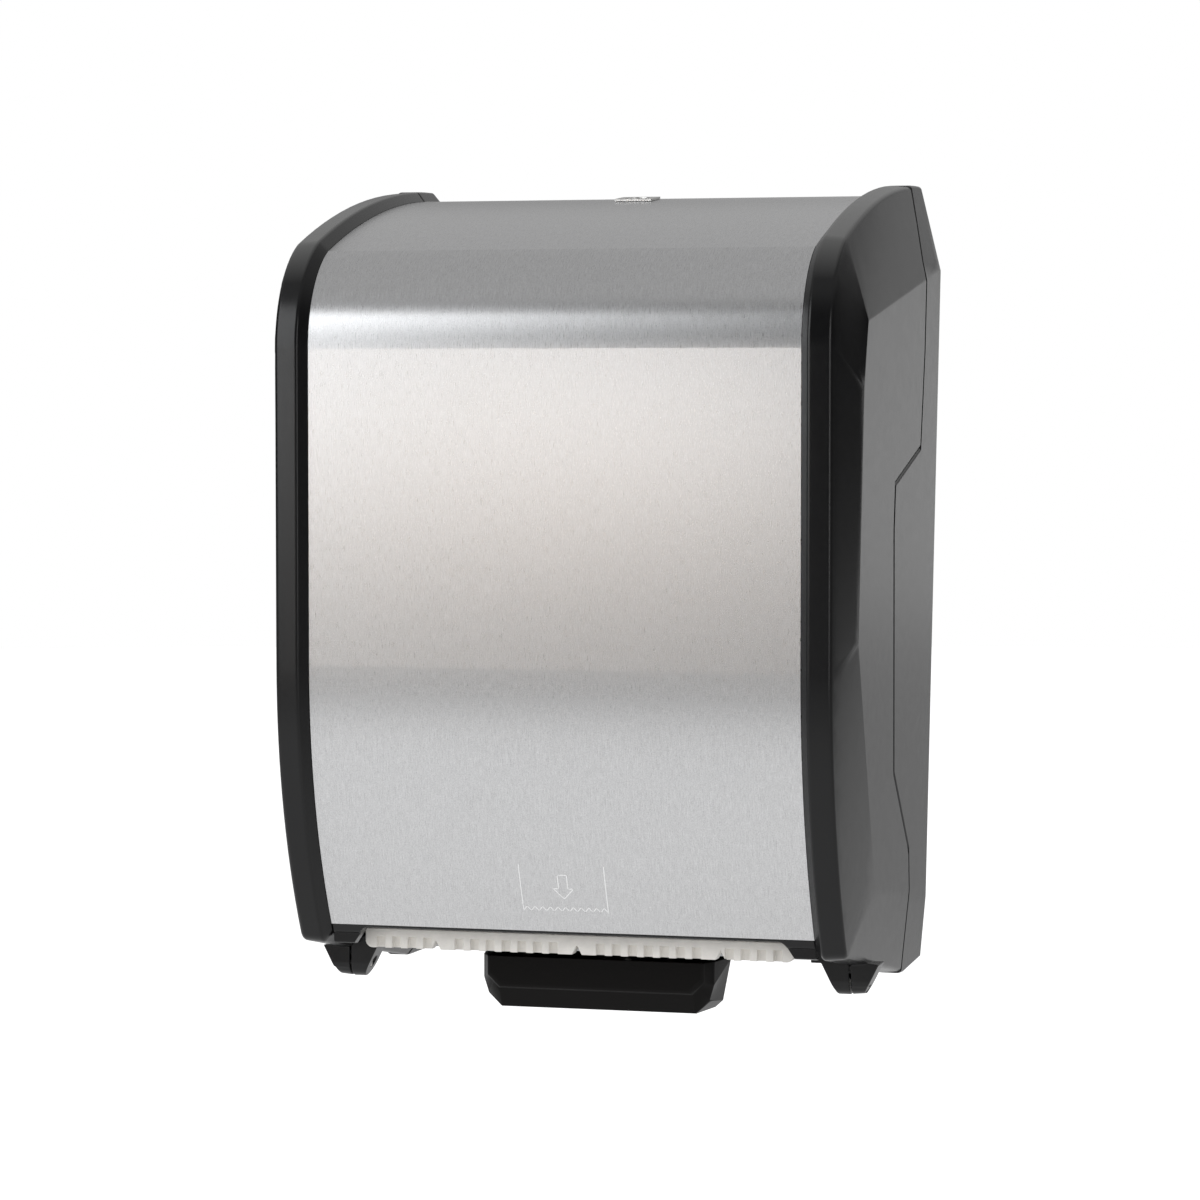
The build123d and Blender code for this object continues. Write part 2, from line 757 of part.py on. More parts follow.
def chassis_right():
    points = [(casing_depth * u, chassis_top * v) for u, v in chassis_shares]
    plate = slab(side_face(points), chassis_inner, chassis_outer)
    plate &= slab(profile(casing_inner_inset + seat_gap), chassis_inner, chassis_outer) & inside_back
    plate -= under_heel(heel_recess + wall + seat_gap, far_x)
    flange_x = (chassis_inner - chassis_flange_width, chassis_outer)
    for share in chassis_flange_height_shares:
        z = chassis_top * share
        span = (z - chassis_flange_width, z + chassis_flange_width)
        plate += block(flange_x, (back_inside - chassis_sheet, back_inside), span)
    lug_y = (hinge_setback - foot_round, hinge_setback + foot_round)
    lug_top = tray_floor(lug_y[0]) + chassis_sheet
    inner_edge = foot_centre - foot_slit / 2
    plate += block((chassis_inner, chassis_outer), lug_y, (foot_top, lug_top))
    plate += block((chassis_inner, inner_edge), lug_y, (foot_top, foot_arm_top))
    plate += foot_trapezoid(chassis_inner, inner_edge)
    hinge_bore = hinge_pin_radius + running_gap
    plate -= rod(hinge_bore, chassis_inner, foot_centre, hinge_setback, hinge_height)
    bores = (
        (bush_radius, drum_setback, drum_height),
        (pinch_shaft_radius + running_gap, *pinch_place()),
        (lever_pin_radius, lever_setback, lever_height),
    )
    for radius, setback, height in bores:
        plate -= rod(radius, chassis_inner - overrun, chassis_outer + overrun, setback, height)
    for point in housing_screw_points():
        plate -= screw_hole(point, (0, 1, 0))
    for point in side_screw_points():
        plate -= screw_hole(point, (-1, 0, 0))
    return plate


def chassis_screws():
    return Compound([screw(point, (0, 1, 0)) for point in housing_screw_points()])


def side_screws():
    screws = [screw(point, (-1, 0, 0)) for point in side_screw_points()]
    return Compound(screws + [mirrored(one) for one in screws])


def base_tray():
    half = chassis_inner - seat_gap
    tray = ring(steel_recess, casing_inner_inset, -half, half)
    front = chute_front + chute_tab_depth + free_gap
    tray &= block((-far_x, far_x), (front, casing_depth), (0, chute_tab_top))
    tray -= rear_zone(split_gap)
    window_x = (-tray_window_half_width, tray_window_half_width)
    tray -= block(window_x, (0, tray_window_back), (-overrun, far_z))
    room = rod(lever_hub_radius + free_gap, -far_x, far_x, lever_setback, lever_height)
    tray -= room
    reach = screw_length
    flange_y = (tray_screw_setback - tray_flange_height, tray_screw_setback + tray_flange_height / 2)
    low = tray_floor(flange_y[1]) - wall
    flange = block((half - reach, half), flange_y, (low, tray_floor(flange_y[0]) + tray_flange_height))
    flange &= slab(profile(steel_recess), 0, far_x)
    tray = tray + flange + mirrored(flange)
    hole = screw_hole(side_screw_points()[2], (-1, 0, 0))
    return tray - hole - mirrored(hole)


def guide_pocket_places():
    """Pocket centres on each side of the comb's notches."""
    count = math.floor(guide_notch_spacing / guide_pitch) - 1
    first = guide_notch_spacing / 2 - guide_pitch * (count - 1) / 2
    inner = [first + guide_pitch * i for i in range(count)]
    rest = guide_half_width - guide_end_round - guide_notch_spacing
    outer_count = math.floor(rest / guide_pitch)
    start = guide_notch_spacing + (rest - guide_pitch * (outer_count - 1)) / 2
    outer = [start + guide_pitch * i for i in range(outer_count)]
    return [s * x for s in (-1, 1) for x in inner + outer]


def towel_guide():
    back = guide_front + guide_comb_depth
    across = (-guide_half_width, guide_half_width)
    bar = block(across, (guide_front, back), (guide_bottom, guide_comb_top))
    corners = bar.edges().filter_by(Axis.Y).group_by(Axis.Z)[0]
    bar = fillet(corners, guide_end_round)
    for x in guide_pocket_places():
        limits = (x - guide_pocket_width / 2, x + guide_pocket_width / 2)
        bar -= block(limits, (0, guide_front + guide_pocket_depth), (0, guide_pocket_top))
    for x in (-guide_notch_spacing, 0, guide_notch_spacing):
        points = [
            (x - guide_notch_half_width, guide_bottom),
            (x + guide_notch_half_width, guide_bottom),
            (x, guide_bottom + guide_notch_height),
        ]
        notch = Plane.XZ * make_face(Polyline(*points, close=True))
        bar -= extrude(notch, back + overrun, dir=(0, 1, 0))
    bar += block(across, (back - guide_web_depth, back), (guide_comb_top, guide_top))
    end_x = (guide_half_width - guide_end_block, chassis_inner - seat_gap)
    end = block(end_x, (back - guide_web_depth, back + guide_end_depth), (guide_comb_top, guide_top))
    bar = bar + end + mirrored(end)
    hole = screw_hole(side_screw_points()[0], (-1, 0, 0))
    return bar - hole - mirrored(hole)


def chute_rear():
    back = chute_front + chute_sheet
    across = (-chute_half_width, chute_half_width)
    plate = block(across, (chute_front, back), (chute_bottom, chute_top))
    tab_x = (chute_half_width - wall, chassis_inner - seat_gap)
    tab = block(tab_x, (chute_front, chute_front + chute_tab_depth), (chute_bottom, chute_tab_top))
    plate = plate + tab + mirrored(tab)
    hole = screw_hole(side_screw_points()[1], (-1, 0, 0))
    return plate - hole - mirrored(hole)


def drum_bush():
    inner = chassis_inner - bush_flange_sheet
    bush = rod(bush_radius, inner, chassis_outer, drum_setback, drum_height)
    bush += rod(bush_flange_radius, inner, chassis_inner, drum_setback, drum_height)
    bore = drum_shaft_radius + running_gap
    return bush - rod(bore, 0, far_x, drum_setback, drum_height)


def drum_shaft():
    half = drum_shaft_half_length
    return rod(drum_shaft_radius, -half, half, drum_setback, drum_height)


def knife_pivot():
    """Place of the knife's pin in the side view."""
    turn = math.radians(drum_slot_angle)
    out = (math.cos(turn), math.sin(turn))
    across = (-out[1], out[0])
    y = drum_setback + knife_pivot_out * out[0] - knife_pivot_side * across[0]
    z = drum_height + knife_pivot_out * out[1] - knife_pivot_side * across[1]
    return (y, z)


def drum_end():
    x_to = drum_half_length - seat_gap
    x_from = x_to - drum_end_sheet
    radius = drum_radius - drum_skin - seat_gap
    disc = rod(radius, x_from, x_to, drum_setback, drum_height)
    disc -= rod(drum_shaft_radius, 0, far_x, drum_setback, drum_height)
    pin_y, pin_z = knife_pivot()
    return disc - rod(knife_pin_radius, 0, far_x, pin_y, pin_z)


def drum_shell(angle_from, angle_to):
    inner = drum_radius - drum_skin
    span = angle_to - angle_from
    centre = (drum_setback, drum_height)
    outside = CenterArc(centre, drum_radius, angle_from, span)
    inside = CenterArc(centre, inner, angle_from, span)
    ends = [Line(outside @ end, inside @ end) for end in (0, 1)]
    face = make_face([outside, inside] + ends)
    return slab(face, -drum_half_length, drum_half_length)


def ratchet_wheel():
    x_to = -chassis_inner + ratchet_gap + ratchet_sheet
    step = 360 / ratchet_teeth
    points = []
    for tooth in range(ratchet_teeth):
        points.append(on_circle(drum_setback, drum_height, ratchet_radius, tooth * step))
        root = ratchet_radius - ratchet_tooth_depth
        points.append(on_circle(drum_setback, drum_height, root, tooth * step))
    wheel = slab(side_face(points), x_to - ratchet_sheet, x_to)
    return wheel - rod(drum_shaft_radius, -far_x, 0, drum_setback, drum_height)


def spring_crank():
    x_to = -chassis_outer - crank_gap
    x_from = x_to - crank_sheet
    pin_z = drum_height - crank_radius
    web_y = (drum_setback - crank_eye_radius, drum_setback + crank_eye_radius)
    arm = rod(crank_eye_radius + crank_pin_radius, x_from, x_to, drum_setback, drum_height)
    arm += block((x_from, x_to), web_y, (pin_z, drum_height))
    arm += rod(crank_eye_radius, x_from, x_to, drum_setback, pin_z)
    arm += rod(crank_pin_radius, x_from - crank_pin_length, x_from, drum_setback, pin_z)
    return arm - rod(drum_shaft_radius, -far_x, 0, drum_setback, drum_height)


def feed_knob():
    x_from = chassis_outer + knob_gap
    x_to = x_from + knob_sheet
    knob = rod(knob_radius, x_from, x_to, drum_setback, drum_height)
    for grip in range(knob_grips):
        y, z = on_circle(drum_setback, drum_height, knob_radius, 360 / knob_grips * grip)
        knob -= rod(knob_grip_radius, x_from, x_to, y, z)
    return knob - rod(drum_shaft_radius, 0, far_x, drum_setback, drum_height)


def knife_pin():
    y, z = knife_pivot()
    half = drum_half_length - seat_gap
    return rod(knife_pin_radius, -half, half, y, z)


def knife_strip(near, far, width):
    """Bar that leans from the knife's pin towards the slot."""
    y, z = knife_pivot()
    strip = block((-knife_half_length, knife_half_length), (near, far), (-width / 2, width / 2))
    return Pos(0, y, z) * Rot(drum_slot_angle + knife_arm_angle, 0, 0) * strip


def knife_carrier():
    y, z = knife_pivot()
    carrier = rod(knife_hub_radius, -knife_half_length, knife_half_length, y, z)
    carrier += knife_strip(0, knife_arm_length, knife_arm_width)
    carrier -= rod(knife_pin_radius + running_gap, -far_x, far_x, y, z)
    return carrier - knife_strip(knife_blade_from, knife_blade_reach, knife_blade_sheet)


def knife_blade():
    y, z = knife_pivot()
    teeth = round(2 * knife_half_length / knife_tooth_pitch)
    pitch = 2 * knife_half_length / teeth
    tooth_root = knife_blade_reach - knife_tooth_depth
    points = [(-knife_half_length, knife_blade_from), (-knife_half_length, tooth_root)]
    for tooth in range(teeth):
        start = -knife_half_length + tooth * pitch
        points.append((start + pitch / 2, knife_blade_reach))
        points.append((start + pitch, tooth_root))
    points.append((knife_half_length, knife_blade_from))
    blade = extrude(make_face(Polyline(*points, close=True)), knife_blade_sheet / 2, both=True)
    return Pos(0, y, z) * Rot(drum_slot_angle + knife_arm_angle, 0, 0) * blade


def pinch_shaft():
    half = pinch_shaft_half_length
    return rod(pinch_shaft_radius, -half, half, *pinch_place())


def pinch_sleeves():
    sleeves = []
    for place in (-1, 0, 1):
        x = place * pinch_sleeve_spacing
        ends = (x - pinch_sleeve_half_length, x + pinch_sleeve_half_length)
        sleeve = rod(pinch_radius, *ends, *pinch_place())
        sleeves.append(sleeve - rod(pinch_shaft_radius, *ends, *pinch_place()))
    return Compound(sleeves)


def lever_pin():
    return rod(lever_pin_radius, -chassis_outer, chassis_outer, lever_setback, lever_height)


def paddle_section(setback, half_width, bottom, corner_x, corner_z, corner_shares):
    """Front view of the paddle at one setback."""
    corner = [(half_width - corner_x * u, bottom + corner_z * v) for u, v in corner_shares]
    right = [(half_width, paddle_top)] + corner
    left = [(-x, z) for x, z in reversed(right)]
    return Pos(0, setback, 0) * (Plane.XZ * make_face(Polyline(*right, *left, close=True)))


def feed_lever():
    nose_width = paddle_half_width + paddle_nose_flare
    back_width = paddle_half_width + paddle_back_flare
    back_bottom = paddle_back_edge - paddle_below_casing
    face_corner = (paddle_face_corner, paddle_face_corner, paddle_face_corner_shares)
    nose_corner = (paddle_nose_corner_x, paddle_nose_corner_z, paddle_nose_corner_shares)
    back_corner = (paddle_back_corner_x, paddle_back_corner_z, paddle_back_corner_shares)
    sections = []
    for step in range(paddle_round_steps + 1):
        turn = math.radians(90 * step / paddle_round_steps)
        setback = paddle_front + paddle_face_round * (1 - math.sin(turn))
        inset = paddle_face_round * (1 - math.cos(turn))
        bottom = paddle_face_bottom + inset
        sections.append(paddle_section(setback, paddle_half_width - inset, bottom, *face_corner))
    sections.reverse()
    sections += [
        paddle_section(paddle_front + paddle_nose, nose_width, -paddle_below_casing, *nose_corner),
        paddle_section(paddle_front + paddle_depth, back_width, back_bottom, *back_corner),
    ]
    paddle = loft(sections, ruled=True)
    hollow_x = nose_width - paddle_nose_corner_x
    hollow_y = (paddle_front + paddle_nose, paddle_front + paddle_depth - paddle_skin)
    hollow_z = (paddle_face_bottom, paddle_top + overrun)
    paddle -= block((-hollow_x, hollow_x), hollow_y, hollow_z)
    arm_y = (lever_setback - lever_arm_half_depth, lever_setback + lever_arm_half_depth)
    arm_x = (lever_arm_half_spacing - lever_arm_sheet, lever_arm_half_spacing)
    arm = block(arm_x, arm_y, (paddle_face_bottom, lever_height))
    paddle = paddle + arm + mirrored(arm)
    paddle += rod(lever_hub_radius, -lever_hub_left, lever_hub_right, lever_setback, lever_height)
    bore = lever_pin_radius + running_gap
    return paddle - rod(bore, -far_x, far_x, lever_setback, lever_height)


def pawl():
    x_from = -chassis_inner + ratchet_gap
    tip = on_circle(drum_setback, drum_height, ratchet_radius + free_gap, pawl_tip_angle)
    outer_reach = ratchet_radius + free_gap + pawl_width
    outer_tip = on_circle(drum_setback, drum_height, outer_reach, pawl_tip_angle)
    elbow = (outer_tip[0] - pawl_elbow_out / 2, (outer_tip[1] + lever_height) / 2)
    inner_elbow = (elbow[0] + pawl_width + pawl_elbow_out, elbow[1] - pawl_width / 2)
    hub_front = (lever_setback - lever_hub_radius, lever_height - lever_hub_radius / 2)
    hub_top = (lever_setback, lever_height + lever_hub_radius)
    points = [tip, outer_tip, elbow, hub_front, hub_top, inner_elbow]
    finger = slab(side_face(points), x_from, x_from + ratchet_sheet)
    return finger - rod(lever_hub_radius, -far_x, far_x, lever_setback, lever_height)


def lever_spring():
    lift = spring_sheet / 2 + seat_gap
    paddle_back = paddle_front + paddle_depth
    bow = paddle_back + lever_spring_bow
    bend = paddle_back + lever_spring_bend_share * (tray_screw_setback - paddle_back)
    points = [
        (tray_screw_setback, tray_floor(tray_screw_setback) + lift),
        (bend, tray_floor(bend) + lift),
        (bow, tray_floor(bow) + lever_spring_hump),
        (paddle_back + free_gap + lift, lever_spring_tip_height),
    ]
    strip = trace(Polyline(*points), spring_sheet)
    return slab(strip, -lever_spring_half_width, lever_spring_half_width)


def spring_post():
    return rod(post_radius, -chassis_outer - post_length, -chassis_outer, drum_setback, post_height)


def drum_spring():
    x = -(chassis_outer + crank_gap + coil_radius + coil_wire_radius)
    bottom = post_height + post_radius + free_gap + coil_wire_radius
    top = drum_height - crank_radius - crank_eye_radius - free_gap - coil_wire_radius
    quarters = 4 * coil_turns
    rise = (top - bottom) / quarters

    def at(step):
        turn = math.radians(90 * step)
        y = drum_setback + coil_radius * math.sin(turn)
        return (x + coil_radius * math.cos(turn), y, bottom + rise * step)

    first = at(0)
    last = at(quarters)
    edges = [Line((first[0], first[1] - coil_tail, first[2]), first)]
    for quarter in range(quarters):
        edges.append(ThreePointArc(at(quarter), at(quarter + 0.5), at(quarter + 1)))
    edges.append(Line(last, (last[0], last[1] + coil_tail, last[2])))
    path = Wire.combine([line.edge() for line in edges])[0]
    section = Plane(path @ 0, z_dir=path % 0) * Circle(coil_wire_radius)
    points = [Vector(*at(i / 6)) for i in range(6 * quarters)]
    turn_apart = [(a - b).length for i, a in enumerate(points) for b in points[i + 12:]]
    print("drum spring: least gap between turns", round(min(turn_apart) - 2 * coil_wire_radius, 2))
    return sweep(section, path=path)


def roll_arm(tail):
    """Arm plate on the right with the stub axle that carries a hub, ending at a tail setback."""
    arm_x = (arm_inner, arm_inner + arm_sheet)
    z = (roll_height - arm_half_height, roll_height + arm_half_height)
    arm = block(arm_x, (roll_setback, tail), z)
    arm += rod(arm_half_height, *arm_x, roll_setback, roll_height)
    axle_end = arm_inner - hub_length + hub_cone_length
    return arm + rod(hub_axle_radius, axle_end, arm_inner, roll_setback, roll_height)


def roll_arm_left():
    arm = roll_arm(back_inside)
    x = (arm_inner + arm_sheet - arm_foot_width, arm_inner + arm_sheet)
    z = (roll_height - arm_foot_half_height, roll_height + arm_foot_half_height)
    arm += block(x, (back_inside - arm_foot_sheet, back_inside), z)
    arm = mirrored(arm)
    for point in housing_screw_points():
        arm -= screw_hole(point, (0, 1, 0))
    return arm


def roll_arm_right():
    x = arm_inner + pivot_offset
    z = (roll_height - arm_half_height, roll_height + arm_half_height)
    arm = roll_arm(pivot_setback)
    arm += upright(pivot_knuckle_radius, x, pivot_setback, *z)
    return arm - upright(pivot_pin_radius + running_gap, x, pivot_setback, 0, far_z)


def roll_bracket():
    x_pin = arm_inner + pivot_offset
    low = roll_height - arm_half_height - free_gap
    high = roll_height + arm_half_height + free_gap
    foot_x = (arm_inner - arm_foot_width, x_pin + pivot_knuckle_radius)
    ear_x = (x_pin - pivot_knuckle_radius, x_pin + pivot_knuckle_radius)
    bracket = None
    for z in ((low - pivot_ear_height, low), (high, high + pivot_ear_height)):
        ear = block(ear_x, (back_inside - pivot_ear_depth, back_inside), z)
        ear += block(foot_x, (back_inside - arm_foot_sheet, back_inside), z)
        bracket = ear if bracket is None else bracket + ear
    spine_x = (x_pin + pivot_knuckle_radius - arm_foot_sheet, x_pin + pivot_knuckle_radius)
    spine_z = (low - pivot_ear_height, high + pivot_ear_height)
    bracket += block(spine_x, (back_inside - seat_gap - arm_foot_sheet / 2, back_inside), spine_z)
    bracket -= upright(pivot_pin_radius, x_pin, pivot_setback, 0, far_z)
    for point in housing_screw_points():
        bracket -= screw_hole(point, (0, 1, 0))
    return bracket


def roll_pivot_pin():
    reach = arm_half_height + free_gap + pivot_ear_height
    x_pin = arm_inner + pivot_offset
    return upright(pivot_pin_radius, x_pin, pivot_setback, roll_height - reach, roll_height + reach)


def roll_hub():
    outer_end = arm_inner - free_gap
    inner_end = arm_inner - hub_length
    hub = rod(hub_radius, inner_end + hub_cone_length, outer_end, roll_setback, roll_height)
    cap = Pos(inner_end + hub_cone_length / 2, roll_setback, roll_height) * Rot(0, 90, 0)
    hub += cap * Cone(hub_radius - hub_cone_length, hub_radius, hub_cone_length)
    bore = hub_axle_radius + running_gap
    return hub - rod(bore, inner_end + hub_cone_length, far_x, roll_setback, roll_height)


slot_open = drum_slot_angle + drum_slot_after_angle
slot_close = drum_slot_angle - drum_slot_before_angle + 360
seam = (slot_open + slot_close) / 2

right_chassis = chassis_right()
right_cheek = cheek_right()
right_end = drum_end()
right_hub = roll_hub()

pieces = {
    "rear_housing": rear_housing(),
    "chassis_left": mirrored(right_chassis),
    "chassis_right": right_chassis,
    "chassis_screws": chassis_screws(),
    "side_screws": side_screws(),
    "base_tray": base_tray(),
    "towel_guide": towel_guide(),
    "chute_rear": chute_rear(),
    "drum_bush_left": mirrored(drum_bush()),
    "drum_bush_right": drum_bush(),
    "lever_pin": lever_pin(),
    "lever_spring": lever_spring(),
    "spring_post": spring_post(),
    "drum_spring": drum_spring(),
    "lock_keeper": lock_keeper(),
    "roll_arm_left": roll_arm_left(),
    "roll_bracket": roll_bracket(),
    "roll_pivot_pin": roll_pivot_pin(),
    "cheek_left": mirrored(right_cheek),
    "cheek_right": right_cheek,
    "steel_panel": steel_panel(),
    "panel_studs": panel_studs(),
    "cover_lip": cover_lip(),
    "top_rail": top_rail(),
    "lock_plate": lock_plate(),
    "cover_screws": cover_screws(),
    "hinge_pins": hinge_pins(),
    "lock_barrel": lock_barrel(),
    "lock_cam": lock_cam(),
    "feed_lever": feed_lever(),
    "pawl": pawl(),
    "drum_shaft": drum_shaft(),
    "drum_end_left": mirrored(right_end),
    "drum_end_right": right_end,
    "drum_shell_front": drum_shell(slot_open, seam - drum_seam_angle),
    "drum_shell_rear": drum_shell(seam + drum_seam_angle, slot_close),
    "ratchet_wheel": ratchet_wheel(),
    "spring_crank": spring_crank(),
    "feed_knob": feed_knob(),
    "knife_pin": knife_pin(),
    "knife_carrier": knife_carrier(),
    "knife_blade": knife_blade(),
    "pinch_shaft": pinch_shaft(),
    "pinch_sleeves": pinch_sleeves(),
    "roll_arm_right": roll_arm_right(),
    "roll_hub_left": mirrored(right_hub),
    "roll_hub_right": right_hub,
}

os.makedirs("parts", exist_ok=True)
to_wall_frame = Pos(0, -casing_depth, -mount_height)
for name, piece in pieces.items():
    export_step(to_wall_frame * piece, f"parts/{name}.step")
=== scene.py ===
import itertools
import json
import math

import bmesh
import bpy
from bpy.props import FloatProperty, FloatVectorProperty, IntProperty, PointerProperty
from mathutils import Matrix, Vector
from mathutils.bvhtree import BVHTree

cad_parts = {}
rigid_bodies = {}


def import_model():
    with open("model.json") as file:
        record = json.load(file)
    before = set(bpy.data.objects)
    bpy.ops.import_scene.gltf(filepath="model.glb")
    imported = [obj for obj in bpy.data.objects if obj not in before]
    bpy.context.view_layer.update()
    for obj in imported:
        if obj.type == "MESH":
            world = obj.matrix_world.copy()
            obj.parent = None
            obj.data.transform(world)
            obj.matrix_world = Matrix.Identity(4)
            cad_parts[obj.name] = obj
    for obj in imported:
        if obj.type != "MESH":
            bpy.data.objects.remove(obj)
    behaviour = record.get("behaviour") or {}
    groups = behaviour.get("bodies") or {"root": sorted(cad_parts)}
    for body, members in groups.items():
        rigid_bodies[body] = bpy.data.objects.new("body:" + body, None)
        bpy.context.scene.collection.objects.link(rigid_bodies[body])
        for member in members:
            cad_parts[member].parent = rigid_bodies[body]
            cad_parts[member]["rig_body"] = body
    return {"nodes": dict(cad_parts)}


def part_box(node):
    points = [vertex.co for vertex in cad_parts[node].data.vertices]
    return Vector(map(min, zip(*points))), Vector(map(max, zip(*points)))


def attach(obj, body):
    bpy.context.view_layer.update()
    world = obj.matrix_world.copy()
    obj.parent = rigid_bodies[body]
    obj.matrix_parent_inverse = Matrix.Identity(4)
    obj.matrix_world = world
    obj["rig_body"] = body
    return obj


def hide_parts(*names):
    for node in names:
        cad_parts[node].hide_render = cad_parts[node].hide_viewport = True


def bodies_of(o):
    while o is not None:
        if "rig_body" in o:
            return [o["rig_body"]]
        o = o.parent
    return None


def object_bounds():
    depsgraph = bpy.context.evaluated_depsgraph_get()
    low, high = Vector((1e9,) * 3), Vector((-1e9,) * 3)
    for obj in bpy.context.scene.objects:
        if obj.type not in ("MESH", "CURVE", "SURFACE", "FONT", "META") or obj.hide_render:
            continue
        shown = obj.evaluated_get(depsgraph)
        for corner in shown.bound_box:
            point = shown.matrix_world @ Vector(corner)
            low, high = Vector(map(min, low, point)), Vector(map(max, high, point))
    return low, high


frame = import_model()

bl_info = {
    "name": "Paper towel dispenser",
    "version": (1, 0, 0),
    "blender": (4, 5, 0),
    "location": "3D View > Sidebar > Dispenser",
    "description": "Dresses the pieces of a wall-mounted paper towel dispenser and sets its studio",
    "category": "Object",
}

NODES = frame["nodes"]
SLOT_OF = {name: node.data.materials[0].name for name, node in NODES.items()}
CAD_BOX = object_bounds()
MM = 0.001

NOISE_ROUGHNESS = 0.6            # weight of the finer steps of a noise
NOISE_RANGE = (0.3, 0.7)         # where most values of a noise lie
PATCH_RANGE = (0.35, 0.65)       # narrower range, for patches with clearer borders
SUM_RANGE = (0.7, 1.3)           # where most sums of two noises lie
WEAR_AND_HIGHLIGHT_RANGE = (0.995, 0.85)       # cosines of the turn near an edge at which the edge wear and painted edge highlight start and are full
DUST_AND_SHEEN_RANGE = (0.55, 0.95)        # upward share of a face's normal at which the dust and painted top sheen start and are full
EDGE_SAMPLES = 4                 # tries round a point in search of an edge
QUARTER_TURN = 0.25              # turns the spread of reflections to lie across the brush lines
WELD_GAP = 0.02 * MM             # points closer than this become one
FLAT_TURN = math.radians(0.1)    # faces that turn less than this become one
ALONGSIDE = 0.87                 # cosine above which one edge runs along another
ROOM_SHARE = 0.45                # share of the room beside an edge that its rounding may take
SQUARE_ON = 0.02                 # sideways share of a normal up to which a face isn't turned
FORWARD = 0.05                   # forward share of a normal from which a face looks to the front
SHADING_WEIGHT = 100             # how strongly large faces rule the shading


# Properties

def length(name, description, default):
    """Property for a size in metres."""
    return FloatProperty(
        name=name, description=description, default=default, unit="LENGTH", precision=5
    )


def share(name, description, default):
    """Property between nought and one."""
    return FloatProperty(
        name=name, description=description, default=default, min=0, max=1, subtype="FACTOR"
    )


def colour(name, description, default):
    """Property for a surface colour."""
    return FloatVectorProperty(
        name=name, description=description, default=default, size=3, min=0, max=1, subtype="COLOR"
    )


def angle(name, description, degrees):
    """Property for an angle, whose default is given in degrees."""
    return FloatProperty(
        name=name, description=description, default=math.radians(degrees), unit="ROTATION"
    )


class PlasticLook:
    """What every moulded plastic has."""

    mottle_size: length("Mottle size", "Size of the faint clouds in the colour", 6 * MM)
    mottle: share("Mottle", "Strength of the faint clouds in the colour", 0.14)
    grain_size: length("Grain size", "Size of the mould's texture", 0.5 * MM)
    grain_depth: length("Grain depth", "Depth of the mould's texture", 0.02 * MM)
    # reach and strength of the lighter colour at edges: edge wear and a painted edge highlight
    edge_reach: length("Edge reach", "How far wear reaches in from an edge", 0.7 * MM)
    edge_wear_and_highlight: share("Edge wear", "How much of the rubbed colour shows at edges", 0.35)
    rough_spread: share("Roughness spread", "How far roughness strays from its mean", 0.015)
    gloss: share("Gloss", "Strength of reflections, where a half is usual", 0.5)
    # colour and share of the lighter upward faces: dust and a painted top sheen
    dust_and_sheen_tone: colour("Dust colour", "Colour of dust on faces that look up", (0.30, 0.30, 0.295))
    dust_and_sheen: share("Dust", "How much of the fine dust lies on faces that look up", 0.0)


class ShellLook(PlasticLook, bpy.types.PropertyGroup):
    """Satin black shell."""

    tone: colour("Colour", "Colour of the black shell", (0.004, 0.004, 0.0044))
    # lighter colour at the edges: wear and a painted edge highlight
    rubbed_and_highlit: colour("Rubbed colour", "Colour of its rubbed edges", (0.022, 0.022, 0.023))
    rough: share("Roughness", "Mean roughness of the black shell", 0.24)
    gloss: share("Gloss", "Strength of reflections, where a half is usual", 0.36)
    # the shell's upward faces are painted lighter: dust and a painted top sheen
    dust_and_sheen: share("Dust", "How much of the fine dust lies on faces that look up", 0.30)


class LeverLook(PlasticLook, bpy.types.PropertyGroup):
    """Smoother black of the push lever."""

    tone: colour("Colour", "Colour of the lever", (0.0034, 0.0029, 0.0026))
    # warm lighter colour at the edges: wear and a painted edge highlight
    rubbed_and_highlit: colour("Rubbed colour", "Colour of its rubbed edges", (0.05, 0.046, 0.042))
    rough: share("Roughness", "Mean roughness of the lever", 0.24)
    gloss: share("Gloss", "Strength of reflections, where a half is usual", 0.12)


class GuideLook(PlasticLook, bpy.types.PropertyGroup):
    """Warm white plastic."""

    tone: colour("Colour", "Colour of the white pieces", (0.85, 0.825, 0.78))
    # lighter colour at the edges: wear and a painted edge highlight
    rubbed_and_highlit: colour("Rubbed colour", "Colour of their rubbed edges", (0.88, 0.86, 0.83))
    rough: share("Roughness", "Mean roughness of the white pieces", 0.42)


class FrameLook(PlasticLook, bpy.types.PropertyGroup):
    """Grey plastic of the frame."""

    tone: colour("Colour", "Colour of the grey frame", (0.155, 0.16, 0.165))
    # lighter colour at the edges: wear and a painted edge highlight
    rubbed_and_highlit: colour("Rubbed colour", "Colour of its rubbed edges", (0.26, 0.265, 0.27))
    rough: share("Roughness", "Mean roughness of the grey frame", 0.46)


class DrumLook(PlasticLook, bpy.types.PropertyGroup):
    """Pale grey plastic of the feed drum."""

    tone: colour("Colour", "Colour of the feed drum", (0.42, 0.43, 0.435))
    # lighter colour at the edges: wear and a painted edge highlight
    rubbed_and_highlit: colour("Rubbed colour", "Colour of its rubbed edges", (0.55, 0.555, 0.56))
    rough: share("Roughness", "Mean roughness of the feed drum", 0.40)


class RubberLook(PlasticLook, bpy.types.PropertyGroup):
    """Soft rubber of the pinch sleeves."""

    tone: colour("Colour", "Colour of the rubber", (0.022, 0.021, 0.020))
    # lighter colour at the edges: wear and a painted edge highlight
    rubbed_and_highlit: colour("Rubbed colour", "Colour of its rubbed edges", (0.07, 0.068, 0.065))
    rough: share("Roughness", "Mean roughness of the rubber", 0.72)


